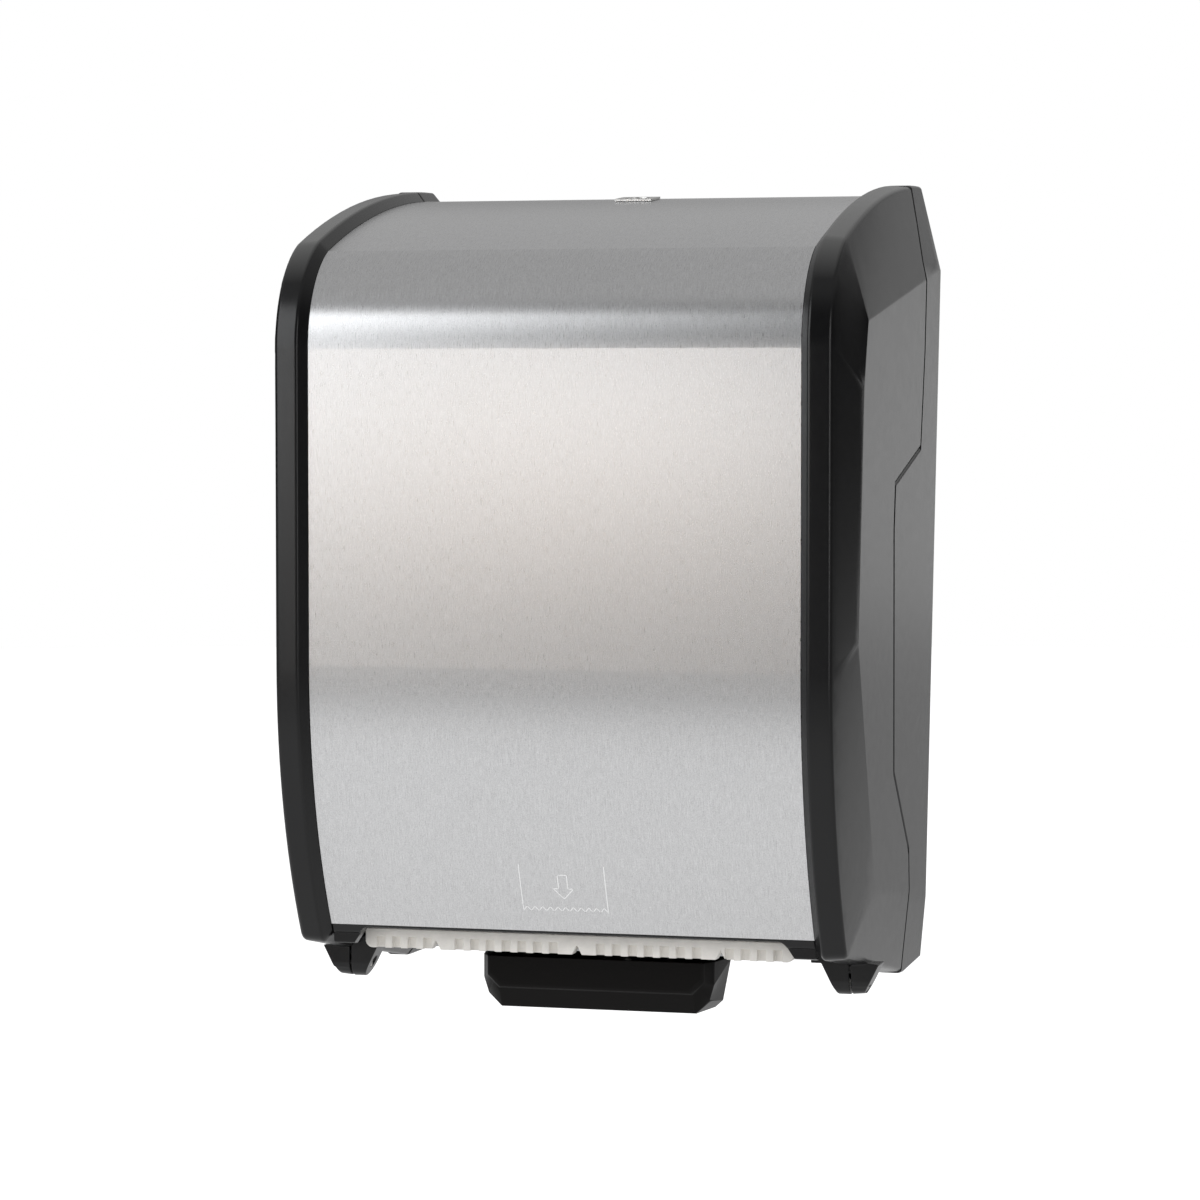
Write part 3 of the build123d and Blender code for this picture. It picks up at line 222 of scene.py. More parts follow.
class SteelLook(bpy.types.PropertyGroup):
    """Brushed stainless sheet."""

    tone: colour("Colour", "Colour of the sheet", (0.62, 0.62, 0.625))
    rough: share("Roughness", "Mean roughness of the sheet", 0.285)
    rough_spread: share("Roughness spread", "How far roughness strays from its mean", 0.02)
    brushing: share("Brushing", "How far reflections spread across the brush lines", 0.50)
    line_width: length("Line width", "Width of one brush line", 0.25 * MM)
    line_length: length("Line length", "Length of one brush line", 5 * MM)
    line_depth: length("Line depth", "Depth of one brush line", 0.0009 * MM)
    speck_size: length("Speck size", "Size of the fine specks between the lines", 0.5 * MM)
    contrast: share("Contrast", "Strength of the lines and specks in the colour", 0.20)


class MetalLook:
    """What every small metal piece has."""

    rough_spread: share("Roughness spread", "How far roughness strays from its mean", 0.10)
    patch_size: length("Patch size", "Size of the patches in the finish", 3 * MM)
    scratch_size: length("Scratch size", "Width of the fine scratches", 0.15 * MM)
    scratch_depth: length("Scratch depth", "Depth of the fine scratches", 0.004 * MM)


class ZincLook(MetalLook, bpy.types.PropertyGroup):
    """Zinc-plated steel."""

    tone: colour("Colour", "Colour of the plating", (0.60, 0.61, 0.63))
    second_tone: colour("Second colour", "Colour of its cloudy patches", (0.66, 0.63, 0.56))
    rough: share("Roughness", "Mean roughness of the plating", 0.34)


class SpringLook(MetalLook, bpy.types.PropertyGroup):
    """Hard spring steel."""

    tone: colour("Colour", "Colour of the steel", (0.46, 0.46, 0.47))
    second_tone: colour("Second colour", "Colour of its tempered patches", (0.36, 0.33, 0.30))
    rough: share("Roughness", "Mean roughness of the steel", 0.25)


class LockLook(MetalLook, bpy.types.PropertyGroup):
    """Bright plated lock."""

    tone: colour("Colour", "Colour of the plating", (0.80, 0.795, 0.78))
    second_tone: colour("Second colour", "Colour of its duller patches", (0.74, 0.735, 0.72))
    rough: share("Roughness", "Mean roughness of the plating", 0.36)
    rough_spread: share("Roughness spread", "How far roughness strays from its mean", 0.04)
    scratch_depth: length("Scratch depth", "Depth of the fine scratches", 0.0005 * MM)


class EdgeSizes(bpy.types.PropertyGroup):
    """Rounded edges of the moulded and cut pieces."""

    shell: length("Shell edges", "Radius of the black shell's edges", 0.5 * MM)
    lever: length("Lever edges", "Radius of the lever's edges", 0.7 * MM)
    guide: length("Guide edges", "Radius of the white guide's edges", 0.35 * MM)
    inside: length("Inside edges", "Radius of the edges of the pieces inside", 0.4 * MM)
    metal: length("Metal edges", "Radius of the edges of small metal pieces", 0.25 * MM)
    joint: length("Joint edges", "Radius of the edges where cover and housing meet", 1.2 * MM)
    soft: length("Soft creases", "Radius of the shallow creases in the shell's sides", 7 * MM)
    joint_reach: length("Joint reach", "Distance within which two pieces form the joint", 2.5 * MM)
    step_width: length("Step width", "Faces narrower than this are steps of a round", 1.8 * MM)
    crease: angle("Crease", "Least turn between two faces that shows as an edge", 5)
    corner: angle("Corner", "Turn of an outline up to which its edges are rounded alike", 35)
    shallow: angle("Shallow crease", "Turn up to which a crease of the shell is soft", 24)
    hard: angle("Hard edge", "Turn that shows as an edge even beside a narrow face", 50)
    rib_inner: length("Rib inner edge", "Distance of a rib's front from the middle", 137.2 * MM)
    rib_outer: length("Rib outer edge", "Distance of a rib's round from the middle", 148.7 * MM)
    rib_depth: length("Rib depth", "Depth behind a rib's front that leans with it", 3 * MM)
    rib_lean: angle("Rib lean", "How far the fronts of the ribs turn outwards", 5)
    steps: IntProperty(
        name="Steps", description="Faces across a rounded edge", default=2, min=1, max=6
    )


class PictogramSizes(bpy.types.PropertyGroup):
    """Printed sign low on the steel: a towel drawn downwards."""

    tone: colour("Colour", "Colour of the print", (0.97, 0.97, 0.97))
    middle: length("Height", "Height of the sign's middle", -170 * MM)
    width: length("Width", "Width of the drawn towel", 46 * MM)
    height: length("Drop", "Height of the drawn towel", 25 * MM)
    tooth: length("Tooth", "Height of one tooth of its torn edge", 2.4 * MM)
    teeth: IntProperty(name="Teeth", description="Teeth along its torn edge", default=11, min=2)
    line: length("Line", "Width of the printed line", 0.5 * MM)
    film: length("Film", "Thickness of the print", 0.06 * MM)


class StageSizes(bpy.types.PropertyGroup):
    """Floor, lamps and camera."""

    floor_drop: length("Floor drop", "Distance from the object down to the floor", 0.30)
    floor_radius: length("Floor radius", "Radius of the floor", 8.0)
    floor_tone: colour("Floor colour", "Colour of the floor", (0.62, 0.62, 0.62))
    floor_glow: share("Floor glow", "Light added to the floor for the camera", 0.80)
    floor_sheen: share("Floor sheen", "Light added in reflections to the near floor", 0.36)
    far_sheen: share("Far sheen", "Light added in reflections to the far floor", 0.10)
    fill: share("Fill", "Brightness of the light from all round", 0.60)
    overhead: share("Overhead", "Brightness of the ceiling in reflections", 0.48)
    backdrop: share("Backdrop", "Brightness of the backdrop in reflections", 0.82)
    room: share("Room", "Brightness of the dim room in reflections", 0.06)
    azimuth: angle("Azimuth", "Turn of the camera to the right of the front", 15.30)
    elevation: angle("Elevation", "Height of the camera above level", 2.85)
    distance: length("Distance", "Distance of the camera from its target", 2.097)
    target: FloatVectorProperty(
        name="Target", description="Point that the camera looks at",
        default=(0.02777, -0.236, -0.01745),
        size=3, subtype="TRANSLATION", unit="LENGTH", precision=5,
    )
    lens: FloatProperty(
        name="Lens", description="Focal length of the camera", default=123.15, unit="CAMERA"
    )


class DispenserSettings(bpy.types.PropertyGroup):
    """All the settings of the dispenser."""

    shell: PointerProperty(type=ShellLook, name="Black shell", description="Satin black shell")
    lever: PointerProperty(type=LeverLook, name="Lever", description="Black push lever")
    guide: PointerProperty(type=GuideLook, name="White pieces", description="Warm white plastic")
    frame: PointerProperty(type=FrameLook, name="Grey frame", description="Grey frame plastic")
    drum: PointerProperty(type=DrumLook, name="Drum", description="Pale grey drum plastic")
    rubber: PointerProperty(type=RubberLook, name="Rubber", description="Rubber of the sleeves")
    steel: PointerProperty(type=SteelLook, name="Steel", description="Brushed stainless sheet")
    zinc: PointerProperty(type=ZincLook, name="Zinc", description="Zinc-plated steel")
    spring: PointerProperty(type=SpringLook, name="Spring steel", description="Hard spring steel")
    lock: PointerProperty(type=LockLook, name="Lock", description="Bright plated lock")
    edges: PointerProperty(type=EdgeSizes, name="Edges", description="Rounded edges")
    pictogram: PointerProperty(type=PictogramSizes, name="Sign", description="Printed sign")
    stage: PointerProperty(type=StageSizes, name="Stage", description="Floor, lamps and camera")


# Finishes

def add(tree, kind, inputs, **settings):
    """New shader node with its settings, and its inputs set or linked."""
    node = tree.nodes.new("ShaderNode" + kind)
    for key, value in settings.items():
        setattr(node, key, value)
    for key, value in inputs.items():
        if isinstance(value, bpy.types.NodeSocket):
            tree.links.new(value, node.inputs[key])
        else:
            node.inputs[key].default_value = value
    return node


def finish(name):
    """New material with its node tree, its surface shader and the place on the piece."""
    material = bpy.data.materials.new(name)
    material.use_nodes = True
    tree = material.node_tree
    place = add(tree, "TexCoord", {}).outputs["Object"]
    return material, tree, tree.nodes["Principled BSDF"], place


def noise(tree, place, size, detail=3):
    """Even noise with features of one size."""
    inputs = {"Vector": place, "Scale": 1 / size, "Detail": detail, "Roughness": NOISE_ROUGHNESS}
    return add(tree, "TexNoise", inputs).outputs["Fac"]


def remap(tree, value, low, high, to_low, to_high):
    """Value moved from one range to another."""
    inputs = {
        "Value": value, "From Min": low, "From Max": high, "To Min": to_low, "To Max": to_high,
    }
    return add(tree, "MapRange", inputs).outputs["Result"]


def reckon(tree, operation, *values):
    """Result of one step of arithmetic."""
    return add(tree, "Math", dict(enumerate(values)), operation=operation).outputs["Value"]


def blend_values(tree, factor, first, second):
    """Value between two values."""
    return add(tree, "Mix", {0: factor, 2: first, 3: second}, data_type="FLOAT").outputs[0]


def blend_tones(tree, factor, first, second):
    """Colour between two colours."""
    return add(tree, "Mix", {0: factor, 6: first, 7: second}, data_type="RGBA").outputs[2]


def scaled(tone, factor):
    """Colour made darker or lighter, with its alpha."""
    return (*(min(1.0, part * factor) for part in tone), 1.0)


def bump(tree, height, depth, normal=None):
    """Normal of a surface with fine relief."""
    inputs = {"Height": height, "Distance": depth, "Strength": 1.0}
    if normal is not None:
        inputs["Normal"] = normal
    return add(tree, "Bump", inputs).outputs["Normal"]


def edge_mask(tree, reach):
    """Soft mask along edges, and the rounded normal that it comes from."""
    rounded = add(tree, "Bevel", {"Radius": reach}, samples=EDGE_SAMPLES).outputs["Normal"]
    facing = add(tree, "NewGeometry", {}).outputs["Normal"]
    along = add(tree, "VectorMath", {0: rounded, 1: facing}, operation="DOT_PRODUCT")
    return remap(tree, along.outputs["Value"], *WEAR_AND_HIGHLIGHT_RANGE, 0.0, 1.0), rounded


def roughness(tree, pattern, look):
    """Roughness that strays from its mean with a noise."""
    least, greatest = look.rough - look.rough_spread, look.rough + look.rough_spread
    return remap(tree, pattern, *NOISE_RANGE, least, greatest)


def link_inputs(tree, node, links):
    """Values linked to the inputs of a node."""
    for socket, value in links.items():
        tree.links.new(value, node.inputs[socket])


def moulded_plastic(name, look):
    """Plastic with clouded colour and mould grain; its edges are painted lighter, partly as wear
    and partly as a painted highlight, and faces that look up are painted lighter, partly as dust
    and partly as a painted top sheen.
    """
    material, tree, surface, place = finish(name)
    clouds = noise(tree, place, look.mottle_size, detail=5)
    grain = noise(tree, place, look.grain_size, detail=2)
    # edges painted lighter in patches: wear and a painted edge highlight
    edges, rounded = edge_mask(tree, look.edge_reach)
    patches = remap(tree, clouds, *PATCH_RANGE, 0.0, look.edge_wear_and_highlight)
    highlight_and_wear_mask = reckon(tree, "MULTIPLY", edges, patches)
    dark, light = scaled(look.tone, 1 - look.mottle), scaled(look.tone, 1 + look.mottle)
    body = blend_tones(tree, clouds, dark, light)
    worn_and_highlit = blend_tones(tree, highlight_and_wear_mask, body, scaled(look.rubbed_and_highlit, 1))
    # faces that look up painted lighter: dust and a painted top sheen
    facing = add(tree, "TexCoord", {}).outputs["Normal"]
    upward = add(tree, "SeparateXYZ", {"Vector": facing}).outputs["Z"]
    dust_and_sheen = remap(tree, upward, *DUST_AND_SHEEN_RANGE, 0.0, look.dust_and_sheen)
    surface.inputs["Specular IOR Level"].default_value = look.gloss
    link_inputs(tree, surface, {
        "Base Color": blend_tones(tree, dust_and_sheen, worn_and_highlit, scaled(look.dust_and_sheen_tone, 1)),
        "Roughness": roughness(tree, clouds, look),
        "Normal": bump(tree, grain, look.grain_depth, rounded),
    })
    return material


def brushed_sheet(name, look):
    """Stainless sheet brushed up and over its bend, which spreads reflections sideways."""
    material, tree, surface, place = finish(name)
    across, along = 1 / look.line_width, 1 / look.line_length
    stretched = add(tree, "Mapping", {"Vector": place, "Scale": (across, along, along)})
    lines = noise(tree, stretched.outputs["Vector"], 1, detail=4)
    specks = noise(tree, place, look.speck_size, detail=2)
    texture = reckon(tree, "ADD", lines, specks)
    tangent = add(tree, "Tangent", {}, direction_type="RADIAL", axis="X").outputs["Tangent"]
    dark, light = scaled(look.tone, 1 - look.contrast), scaled(look.tone, 1 + look.contrast)
    surface.inputs["Metallic"].default_value = 1.0
    surface.inputs["Anisotropic"].default_value = look.brushing
    surface.inputs["Anisotropic Rotation"].default_value = QUARTER_TURN
    link_inputs(tree, surface, {
        "Base Color": blend_tones(tree, remap(tree, texture, *SUM_RANGE, 0.0, 1.0), dark, light),
        "Roughness": roughness(tree, lines, look),
        "Normal": bump(tree, texture, look.line_depth),
        "Tangent": tangent,
    })
    return material


def plated_metal(name, look):
    """Small metal piece with patches in its plating and fine scratches."""
    material, tree, surface, place = finish(name)
    patches = noise(tree, place, look.patch_size, detail=4)
    scratches = noise(tree, place, look.scratch_size, detail=3)
    surface.inputs["Metallic"].default_value = 1.0
    link_inputs(tree, surface, {
        "Base Color": blend_tones(tree, patches, scaled(look.tone, 1), scaled(look.second_tone, 1)),
        "Roughness": roughness(tree, patches, look),
        "Normal": bump(tree, scratches, look.scratch_depth),
    })
    return material


FINISHES = {
    "black_shell": (moulded_plastic, "shell"),
    "black_lever": (moulded_plastic, "lever"),
    "white_guide": (moulded_plastic, "guide"),
    "grey_frame": (moulded_plastic, "frame"),
    "grey_drum": (moulded_plastic, "drum"),
    "black_rubber": (moulded_plastic, "rubber"),
    "brushed_steel": (brushed_sheet, "steel"),
    "zinc_steel": (plated_metal, "zinc"),
    "spring_steel": (plated_metal, "spring"),
    "lock_metal": (plated_metal, "lock"),
}


def finish_for(slot, settings):
    """Material of a slot, made when it is first asked for."""
    name = slot + "_finish"
    if name in bpy.data.materials:
        return bpy.data.materials[name]
    make, look = FINISHES[slot]
    return make(name, getattr(settings, look))


# Pieces

def mesh_of(shape, name):
    """Mesh made from an editable shape, which is then let go."""
    mesh = bpy.data.meshes.new(name)
    shape.to_mesh(mesh)
    shape.free()
    return mesh


def new_piece(name, mesh, body, material, replaced=()):
    """Piece made here, which rides on a body and may stand for some nodes."""
    mesh.materials.clear()
    mesh.materials.append(material)
    piece = bpy.data.objects.new(name, mesh)
    bpy.context.scene.collection.objects.link(piece)
    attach(piece, body)
    if replaced:
        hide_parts(*replaced)
    return piece


def body_of(node_name):
    """Body that a node rides on."""
    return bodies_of(NODES[node_name])[0]


def dress(node_names, settings):
    """Nodes whose shape is right get their finish."""
    for name in node_names:
        NODES[name].data.materials[0] = finish_for(SLOT_OF[name], settings)


def welded(node_name):
    """Editable copy of a node with its flat faces whole."""
    source = NODES[node_name].data
    shape = bmesh.new()
    points = [shape.verts.new(vertex.co) for vertex in source.vertices]
    for face in source.polygons:
        shape.faces.new([points[i] for i in face.vertices])
    bmesh.ops.remove_doubles(shape, verts=shape.verts, dist=WELD_GAP)
    bmesh.ops.dissolve_limit(shape, angle_limit=FLAT_TURN, verts=shape.verts, edges=shape.edges)
    return shape


def surface_of(node_names):
    """Search tree over the faces of some nodes."""
    points, faces = [], []
    for name in node_names:
        mesh = NODES[name].data
        start = len(points)
        points += [vertex.co for vertex in mesh.vertices]
        faces += [[start + i for i in face.vertices] for face in mesh.polygons]
    return BVHTree.FromPolygons(points, faces)


def room_beside(edge):
    """Shortest edge that leaves an edge sideways, which limits how far it can be rounded."""
    heading = (edge.verts[1].co - edge.verts[0].co).normalized()
    rooms = []
    for corner in edge.verts:
        for other in corner.link_edges:
            run = other.other_vert(corner).co - corner.co
            if other is not edge and abs(run.normalized().dot(heading)) < ALONGSIDE:
                rooms.append(run.length)
    return min(rooms, default=0)


def mark_edges(shape, edges, radius, joint):
    """Weights for the edges to be rounded, wider in shallow creases and along a joint."""
    weights = shape.edges.layers.float.new("bevel_weight_edge")
    width = {
        face: face.calc_area() / max(side.calc_length() for side in face.edges)
        for face in shape.faces
    }
    for face in shape.faces:
        face.smooth = True
    for edge in shape.edges:
        turn = edge.calc_face_angle(0)
        step = min(width[face] for face in edge.link_faces) < edges.step_width
        if turn < edges.crease or (step and turn < edges.hard):
            continue
        edge.smooth = False
        wanted = radius
        if joint and all(joint.find_nearest(end.co)[3] < edges.joint_reach for end in edge.verts):
            wanted = edges.joint
        elif joint and turn < edges.shallow:
            wanted = edges.soft
        edge[weights] = min(wanted, ROOM_SHARE * room_beside(edge)) / edges.soft
    even_weights(shape, weights, math.cos(edges.corner))


def even_weights(shape, weights, straight):
    """Edges that follow one another round an outline share the least of their weights."""
    changed = True
    while changed:
        changed = False
        for corner in shape.verts:
            marked = [edge for edge in corner.link_edges if edge[weights] > 0]
            runs = [(edge.other_vert(corner).co - corner.co).normalized() for edge in marked]
            for (first, run), (second, other) in itertools.combinations(zip(marked, runs), 2):
                if run.dot(other) < -straight and first[weights] != second[weights]:
                    first[weights] = second[weights] = min(first[weights], second[weights])
                    changed = True


def lean_ribs(shape, edges):
    """Fronts of the ribs turned a little outwards."""
    fronts = [
        face for face in shape.faces
        if abs(face.normal.x) < SQUARE_ON and face.normal.y < -FORWARD
        and edges.rib_inner < abs(face.calc_center_median().x) < edges.rib_outer
    ]
    points = [corner.co.copy() for face in fronts for corner in face.verts]
    counts = [len(face.verts) for face in fronts]
    starts = [sum(counts[:i]) for i in range(len(counts))]
    faces = [range(start, start + count) for start, count in zip(starts, counts)]
    profile = BVHTree.FromPolygons(points, faces)
    middle = (edges.rib_inner + edges.rib_outer) / 2
    for corner in shape.verts:
        reach = abs(corner.co.x) - edges.rib_inner
        if 0 < reach < edges.rib_outer - edges.rib_inner:
            place = Vector((math.copysign(middle, corner.co.x), corner.co.y, corner.co.z))
            normal, gap = profile.find_nearest(place)[1::2]
            if gap < edges.rib_depth:
                corner.co -= normal * reach * math.tan(edges.rib_lean)


def rounded_pieces(node_names, radius, settings, joint_with=(), reshape=None):
    """Pieces with softened edges in place of sharp nodes."""
    edges = settings.edges
    joint = surface_of(joint_with) if joint_with else None
    for name in node_names:
        shape = welded(name)
        if reshape:
            reshape(shape, edges)
        mark_edges(shape, edges, radius, joint)
        mesh = mesh_of(shape, name + "_rounded")
        slot = SLOT_OF[name]
        material = finish_for(slot, settings)
        piece = new_piece(name + "_piece", mesh, body_of(name), material, (name,))
        round_edges(piece, edges)


def round_edges(piece, edges):
    """Rounded edges and even shading on a finished piece."""
    bevel = piece.modifiers.new("rounded_edges", "BEVEL")
    bevel.limit_method = "WEIGHT"
    bevel.width = edges.soft
    bevel.segments = edges.steps
    bevel.use_clamp_overlap = False
    shading = piece.modifiers.new("even_shading", "WEIGHTED_NORMAL")
    shading.keep_sharp = True
    shading.weight = SHADING_WEIGHT


def smooth(mesh, degrees):
    """Mesh shaded smooth, with sharp edges kept."""
    mesh.polygons.foreach_set("use_smooth", [True] * len(mesh.polygons))
    mesh.set_sharp_from_angle(angle=math.radians(degrees))


def tube(points, radius, sides):
    """Closed mesh of round wire along points."""
    shape = bmesh.new()
    rings = []
    normal = None
    for i, point in enumerate(points):
        ahead = points[min(i + 1, len(points) - 1)]
        behind = points[max(i - 1, 0)]
        heading = (ahead - behind).normalized()
        if normal is None:
            normal = heading.orthogonal()
        normal = (normal - heading * normal.dot(heading)).normalized()
        side = heading.cross(normal)
        turns = [math.tau * k / sides for k in range(sides)]
        rings.append([
            shape.verts.new(point + radius * (math.cos(turn) * normal + math.sin(turn) * side))
            for turn in turns
        ])
    for ring, following in zip(rings, rings[1:]):
        for k in range(sides):
            after = (k + 1) % sides
            shape.faces.new((ring[k], ring[after], following[after], following[k]))
    shape.faces.new(list(reversed(rings[0])))
    shape.faces.new(rings[-1])
    bmesh.ops.recalc_face_normals(shape, faces=shape.faces)
    return shape


class DressingOperator:
    """What the operators that dress pieces share."""

    bl_options = {"REGISTER", "UNDO"}
    dressed = ()
    rounded = ()
    edge = "inside"

    def execute(self, context):
        settings = context.scene.dispenser
        dress(self.dressed, settings)
        rounded_pieces(self.rounded, getattr(settings.edges, self.edge), settings)
        return {"FINISHED"}


class DISPENSER_OT_shell(DressingOperator, bpy.types.Operator):
    """Rounds and dresses the black shell"""

    bl_idname = "dispenser.shell"
    bl_label = "Black shell"
    rounded = ("cover_lip", "top_rail", "base_tray")
    edge = "shell"

    def execute(self, context):
        settings = context.scene.dispenser
        cheeks = ("cheek_left", "cheek_right")
        rounded_pieces(cheeks, settings.edges.shell, settings, ("rear_housing",), lean_ribs)
        rounded_pieces(("rear_housing",), settings.edges.shell, settings, cheeks)
        return super().execute(context)


class DISPENSER_OT_steel(DressingOperator, bpy.types.Operator):
    """Dresses the brushed steel front"""

    bl_idname = "dispenser.steel"
    bl_label = "Steel front"
    dressed = ("steel_panel", "panel_studs")


class DISPENSER_OT_guide(DressingOperator, bpy.types.Operator):
    """Rounds and dresses the white towel guide"""

    bl_idname = "dispenser.guide"
    bl_label = "Towel guide"
    rounded = ("towel_guide",)
    edge = "guide"


class DISPENSER_OT_lever(DressingOperator, bpy.types.Operator):
    """Rounds and dresses the push lever and the hand wheel"""

    bl_idname = "dispenser.lever"
    bl_label = "Push lever"
    rounded = ("feed_lever", "feed_knob")
    edge = "lever"


class DISPENSER_OT_lock(DressingOperator, bpy.types.Operator):
    """Rounds and dresses the lock"""

    bl_idname = "dispenser.lock"
    bl_label = "Lock"
    rounded = ("lock_plate", "lock_barrel", "lock_cam", "lock_keeper")
    edge = "metal"


class DISPENSER_OT_feed_frame(DressingOperator, bpy.types.Operator):
    """Rounds and dresses the frame that carries the feed"""

    bl_idname = "dispenser.feed_frame"
    bl_label = "Feed frame"
    rounded = (
        "chassis_left", "chassis_right", "chute_rear", "knife_carrier", "pawl", "ratchet_wheel",
    )
    dressed = ("drum_bush_left", "drum_bush_right", "lever_spring", "lever_pin")


class DISPENSER_OT_drum(DressingOperator, bpy.types.Operator):
    """Rounds and dresses the feed drum and its knife"""

    bl_idname = "dispenser.drum"
    bl_label = "Feed drum"
    rounded = ("drum_end_left", "drum_end_right", "drum_shell_front", "drum_shell_rear")
    dressed = ("drum_shaft", "knife_pin", "knife_blade", "spring_crank", "spring_post")


class DISPENSER_OT_pinch(DressingOperator, bpy.types.Operator):
    """Rounds and dresses the pinch roller"""

    bl_idname = "dispenser.pinch"
    bl_label = "Pinch roller"
    rounded = ("pinch_sleeves",)
    dressed = ("pinch_shaft",)


class DISPENSER_OT_roll_holder(DressingOperator, bpy.types.Operator):
    """Rounds and dresses the arms and hubs of the roll"""

    bl_idname = "dispenser.roll_holder"
    bl_label = "Roll holder"
    rounded = ("roll_arm_left", "roll_arm_right", "roll_bracket", "roll_hub_left", "roll_hub_right")
    dressed = ("roll_pivot_pin",)


class DISPENSER_OT_spring(bpy.types.Operator):
    """Winds the drum's pull spring"""

    bl_idname = "dispenser.spring"
    bl_label = "Drum spring"
    bl_options = {"REGISTER", "UNDO"}

    wire = 0.6 * MM      # radius of the wire
    sides = 8            # faces round the wire
    crease = 40          # degrees from which an edge of the wire stays sharp
    steps = 24           # points along one coil
    pitch = 2.15         # rise of one coil, in radii of the wire
    hook_turn = 1.5      # half turns in a hook
    hook_height = 0.9    # height of a hook, as a share of the coils' radius

    def execute(self, context):
        mesh = mesh_of(tube(self.route(), self.wire, self.sides), "drum_spring_wound")
        smooth(mesh, self.crease)
        steel = finish_for("spring_steel", context.scene.dispenser)
        body = body_of("drum_spring")
        new_piece("drum_spring_wire", mesh, body, steel, ("drum_spring",))
        return {"FINISHED"}

    def route(self):
        """Points along the wire: the lower hook, the coils and the upper hook."""
        low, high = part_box("drum_spring")
        middle = (low + high) / 2
        radius = (high.x - low.x) / 2 - self.wire
        hook = radius + self.wire
        first, last = low.z + self.wire + hook, high.z - self.wire - hook
        coils = int((last - first) / (self.pitch * self.wire))
        points = []
        bends = [math.pi * (self.hook_turn * i / (self.steps // 2)) for i in range(self.steps // 2)]
        for bend in bends:
            drop = radius * math.cos(bend) * self.hook_height
            points.append(Vector((middle.x, middle.y + radius * math.sin(bend), first - drop)))
        for i in range(coils * self.steps + 1):
            turn = math.tau * i / self.steps
            side, depth = radius * math.sin(turn), radius * math.cos(turn)
            rise = first + (last - first) * i / (coils * self.steps)
            points.append(Vector((middle.x + side, middle.y - depth, rise)))
        for bend in bends[1:]:
            rise = radius * math.sin(bend) * self.hook_height
            points.append(Vector((middle.x, middle.y - radius * math.cos(bend), last + rise)))
        return points


class DISPENSER_OT_fasteners(DressingOperator, bpy.types.Operator):
    """Dresses the screws and pins"""

    bl_idname = "dispenser.fasteners"
    bl_label = "Fasteners"
    dressed = ("chassis_screws", "side_screws", "cover_screws", "hinge_pins")


class DISPENSER_OT_pictogram(bpy.types.Operator):
    """Prints the sign for drawing a towel"""

    bl_idname = "dispenser.pictogram"
    bl_label = "Printed sign"
    bl_options = {"REGISTER", "UNDO"}

    # shares of the towel's height
    stem_share = 0.10        # half the width of the arrow's stem
    barb_share = 0.22        # half the width of the arrow's head, and its height
    tail_share = 0.30        # height of the arrow's tail above the middle

    stride = 2 * MM          # longest run of print that stays straight
    speck_size = 0.6 * MM    # size of the specks in the ink
    shades = (0.92, 1.04)    # darkest and lightest shade of the ink
    rough = (0.45, 0.6)      # least and greatest roughness of the ink

    def execute(self, context):
        sign = context.scene.dispenser.pictogram
        left, right = -sign.width / 2, sign.width / 2
        top, bottom = sign.middle + sign.height / 2, sign.middle - sign.height / 2
        torn = [
            (left + sign.width * i / (2 * sign.teeth), bottom + (sign.tooth if i % 2 else 0))
            for i in range(2 * sign.teeth + 1)
        ]
        towel = [(left, top)] + torn + [(right, top)]
        stem, barb = sign.height * self.stem_share, sign.height * self.barb_share
        tip, neck = sign.middle - barb, sign.middle
        tail = sign.middle + sign.height * self.tail_share
        arrow = [
            (-stem, tail), (-stem, neck), (-barb, neck), (0, tip),
            (barb, neck), (stem, neck), (stem, tail), (-stem, tail),
        ]
        surface = surface_of(("steel_panel",))
        front = CAD_BOX[0].y - sign.width
        shape = bmesh.new()
        for line in (towel, arrow):
            for start, end in zip(line, line[1:]):
                self.print_line(shape, surface, front, Vector(start), Vector(end), sign)
        bmesh.ops.recalc_face_normals(shape, faces=shape.faces)
        material, tree, ink, place = finish("print_finish")
        specks = noise(tree, place, self.speck_size)
        dark, light = (scaled(sign.tone, shade) for shade in self.shades)
        link_inputs(tree, ink, {
            "Base Color": blend_tones(tree, specks, dark, light),
            "Roughness": remap(tree, specks, *NOISE_RANGE, *self.rough),
        })
        mesh = mesh_of(shape, "pictogram_print")
        new_piece("pictogram", mesh, body_of("steel_panel"), material)
        return {"FINISHED"}

    def print_line(self, shape, surface, front, start, end, sign):
        """One closed strip of print that follows the steel."""
        run = end - start
        along = run.normalized() * sign.line / 2
        side = Vector((-along.y, along.x))
        steps = max(1, math.ceil(run.length / self.stride))
        sections = []
        for i in range(steps + 1):
            middle = start + run * i / steps
            if i == 0:
                middle = middle - along
            if i == steps:
                middle = middle + along
            section = []
            for edge in (middle - side, middle + side):
                hit = surface.ray_cast(Vector((edge.x, front, edge.y)), Vector((0, 1, 0)))[0]
                if hit is None:
                    raise RuntimeError("the printed sign misses the steel")
                section += [shape.verts.new(hit + Vector((0, -sign.film, 0))), shape.verts.new(hit)]
            sections.append(section)
        for (a, b, c, d), (e, f, g, h) in zip(sections, sections[1:]):
            for corners in ((a, c, g, e), (b, f, h, d), (a, e, f, b), (c, d, h, g)):
                shape.faces.new(corners)
        for a, b, c, d in (sections[0], sections[-1]):
            shape.faces.new((a, b, d, c))


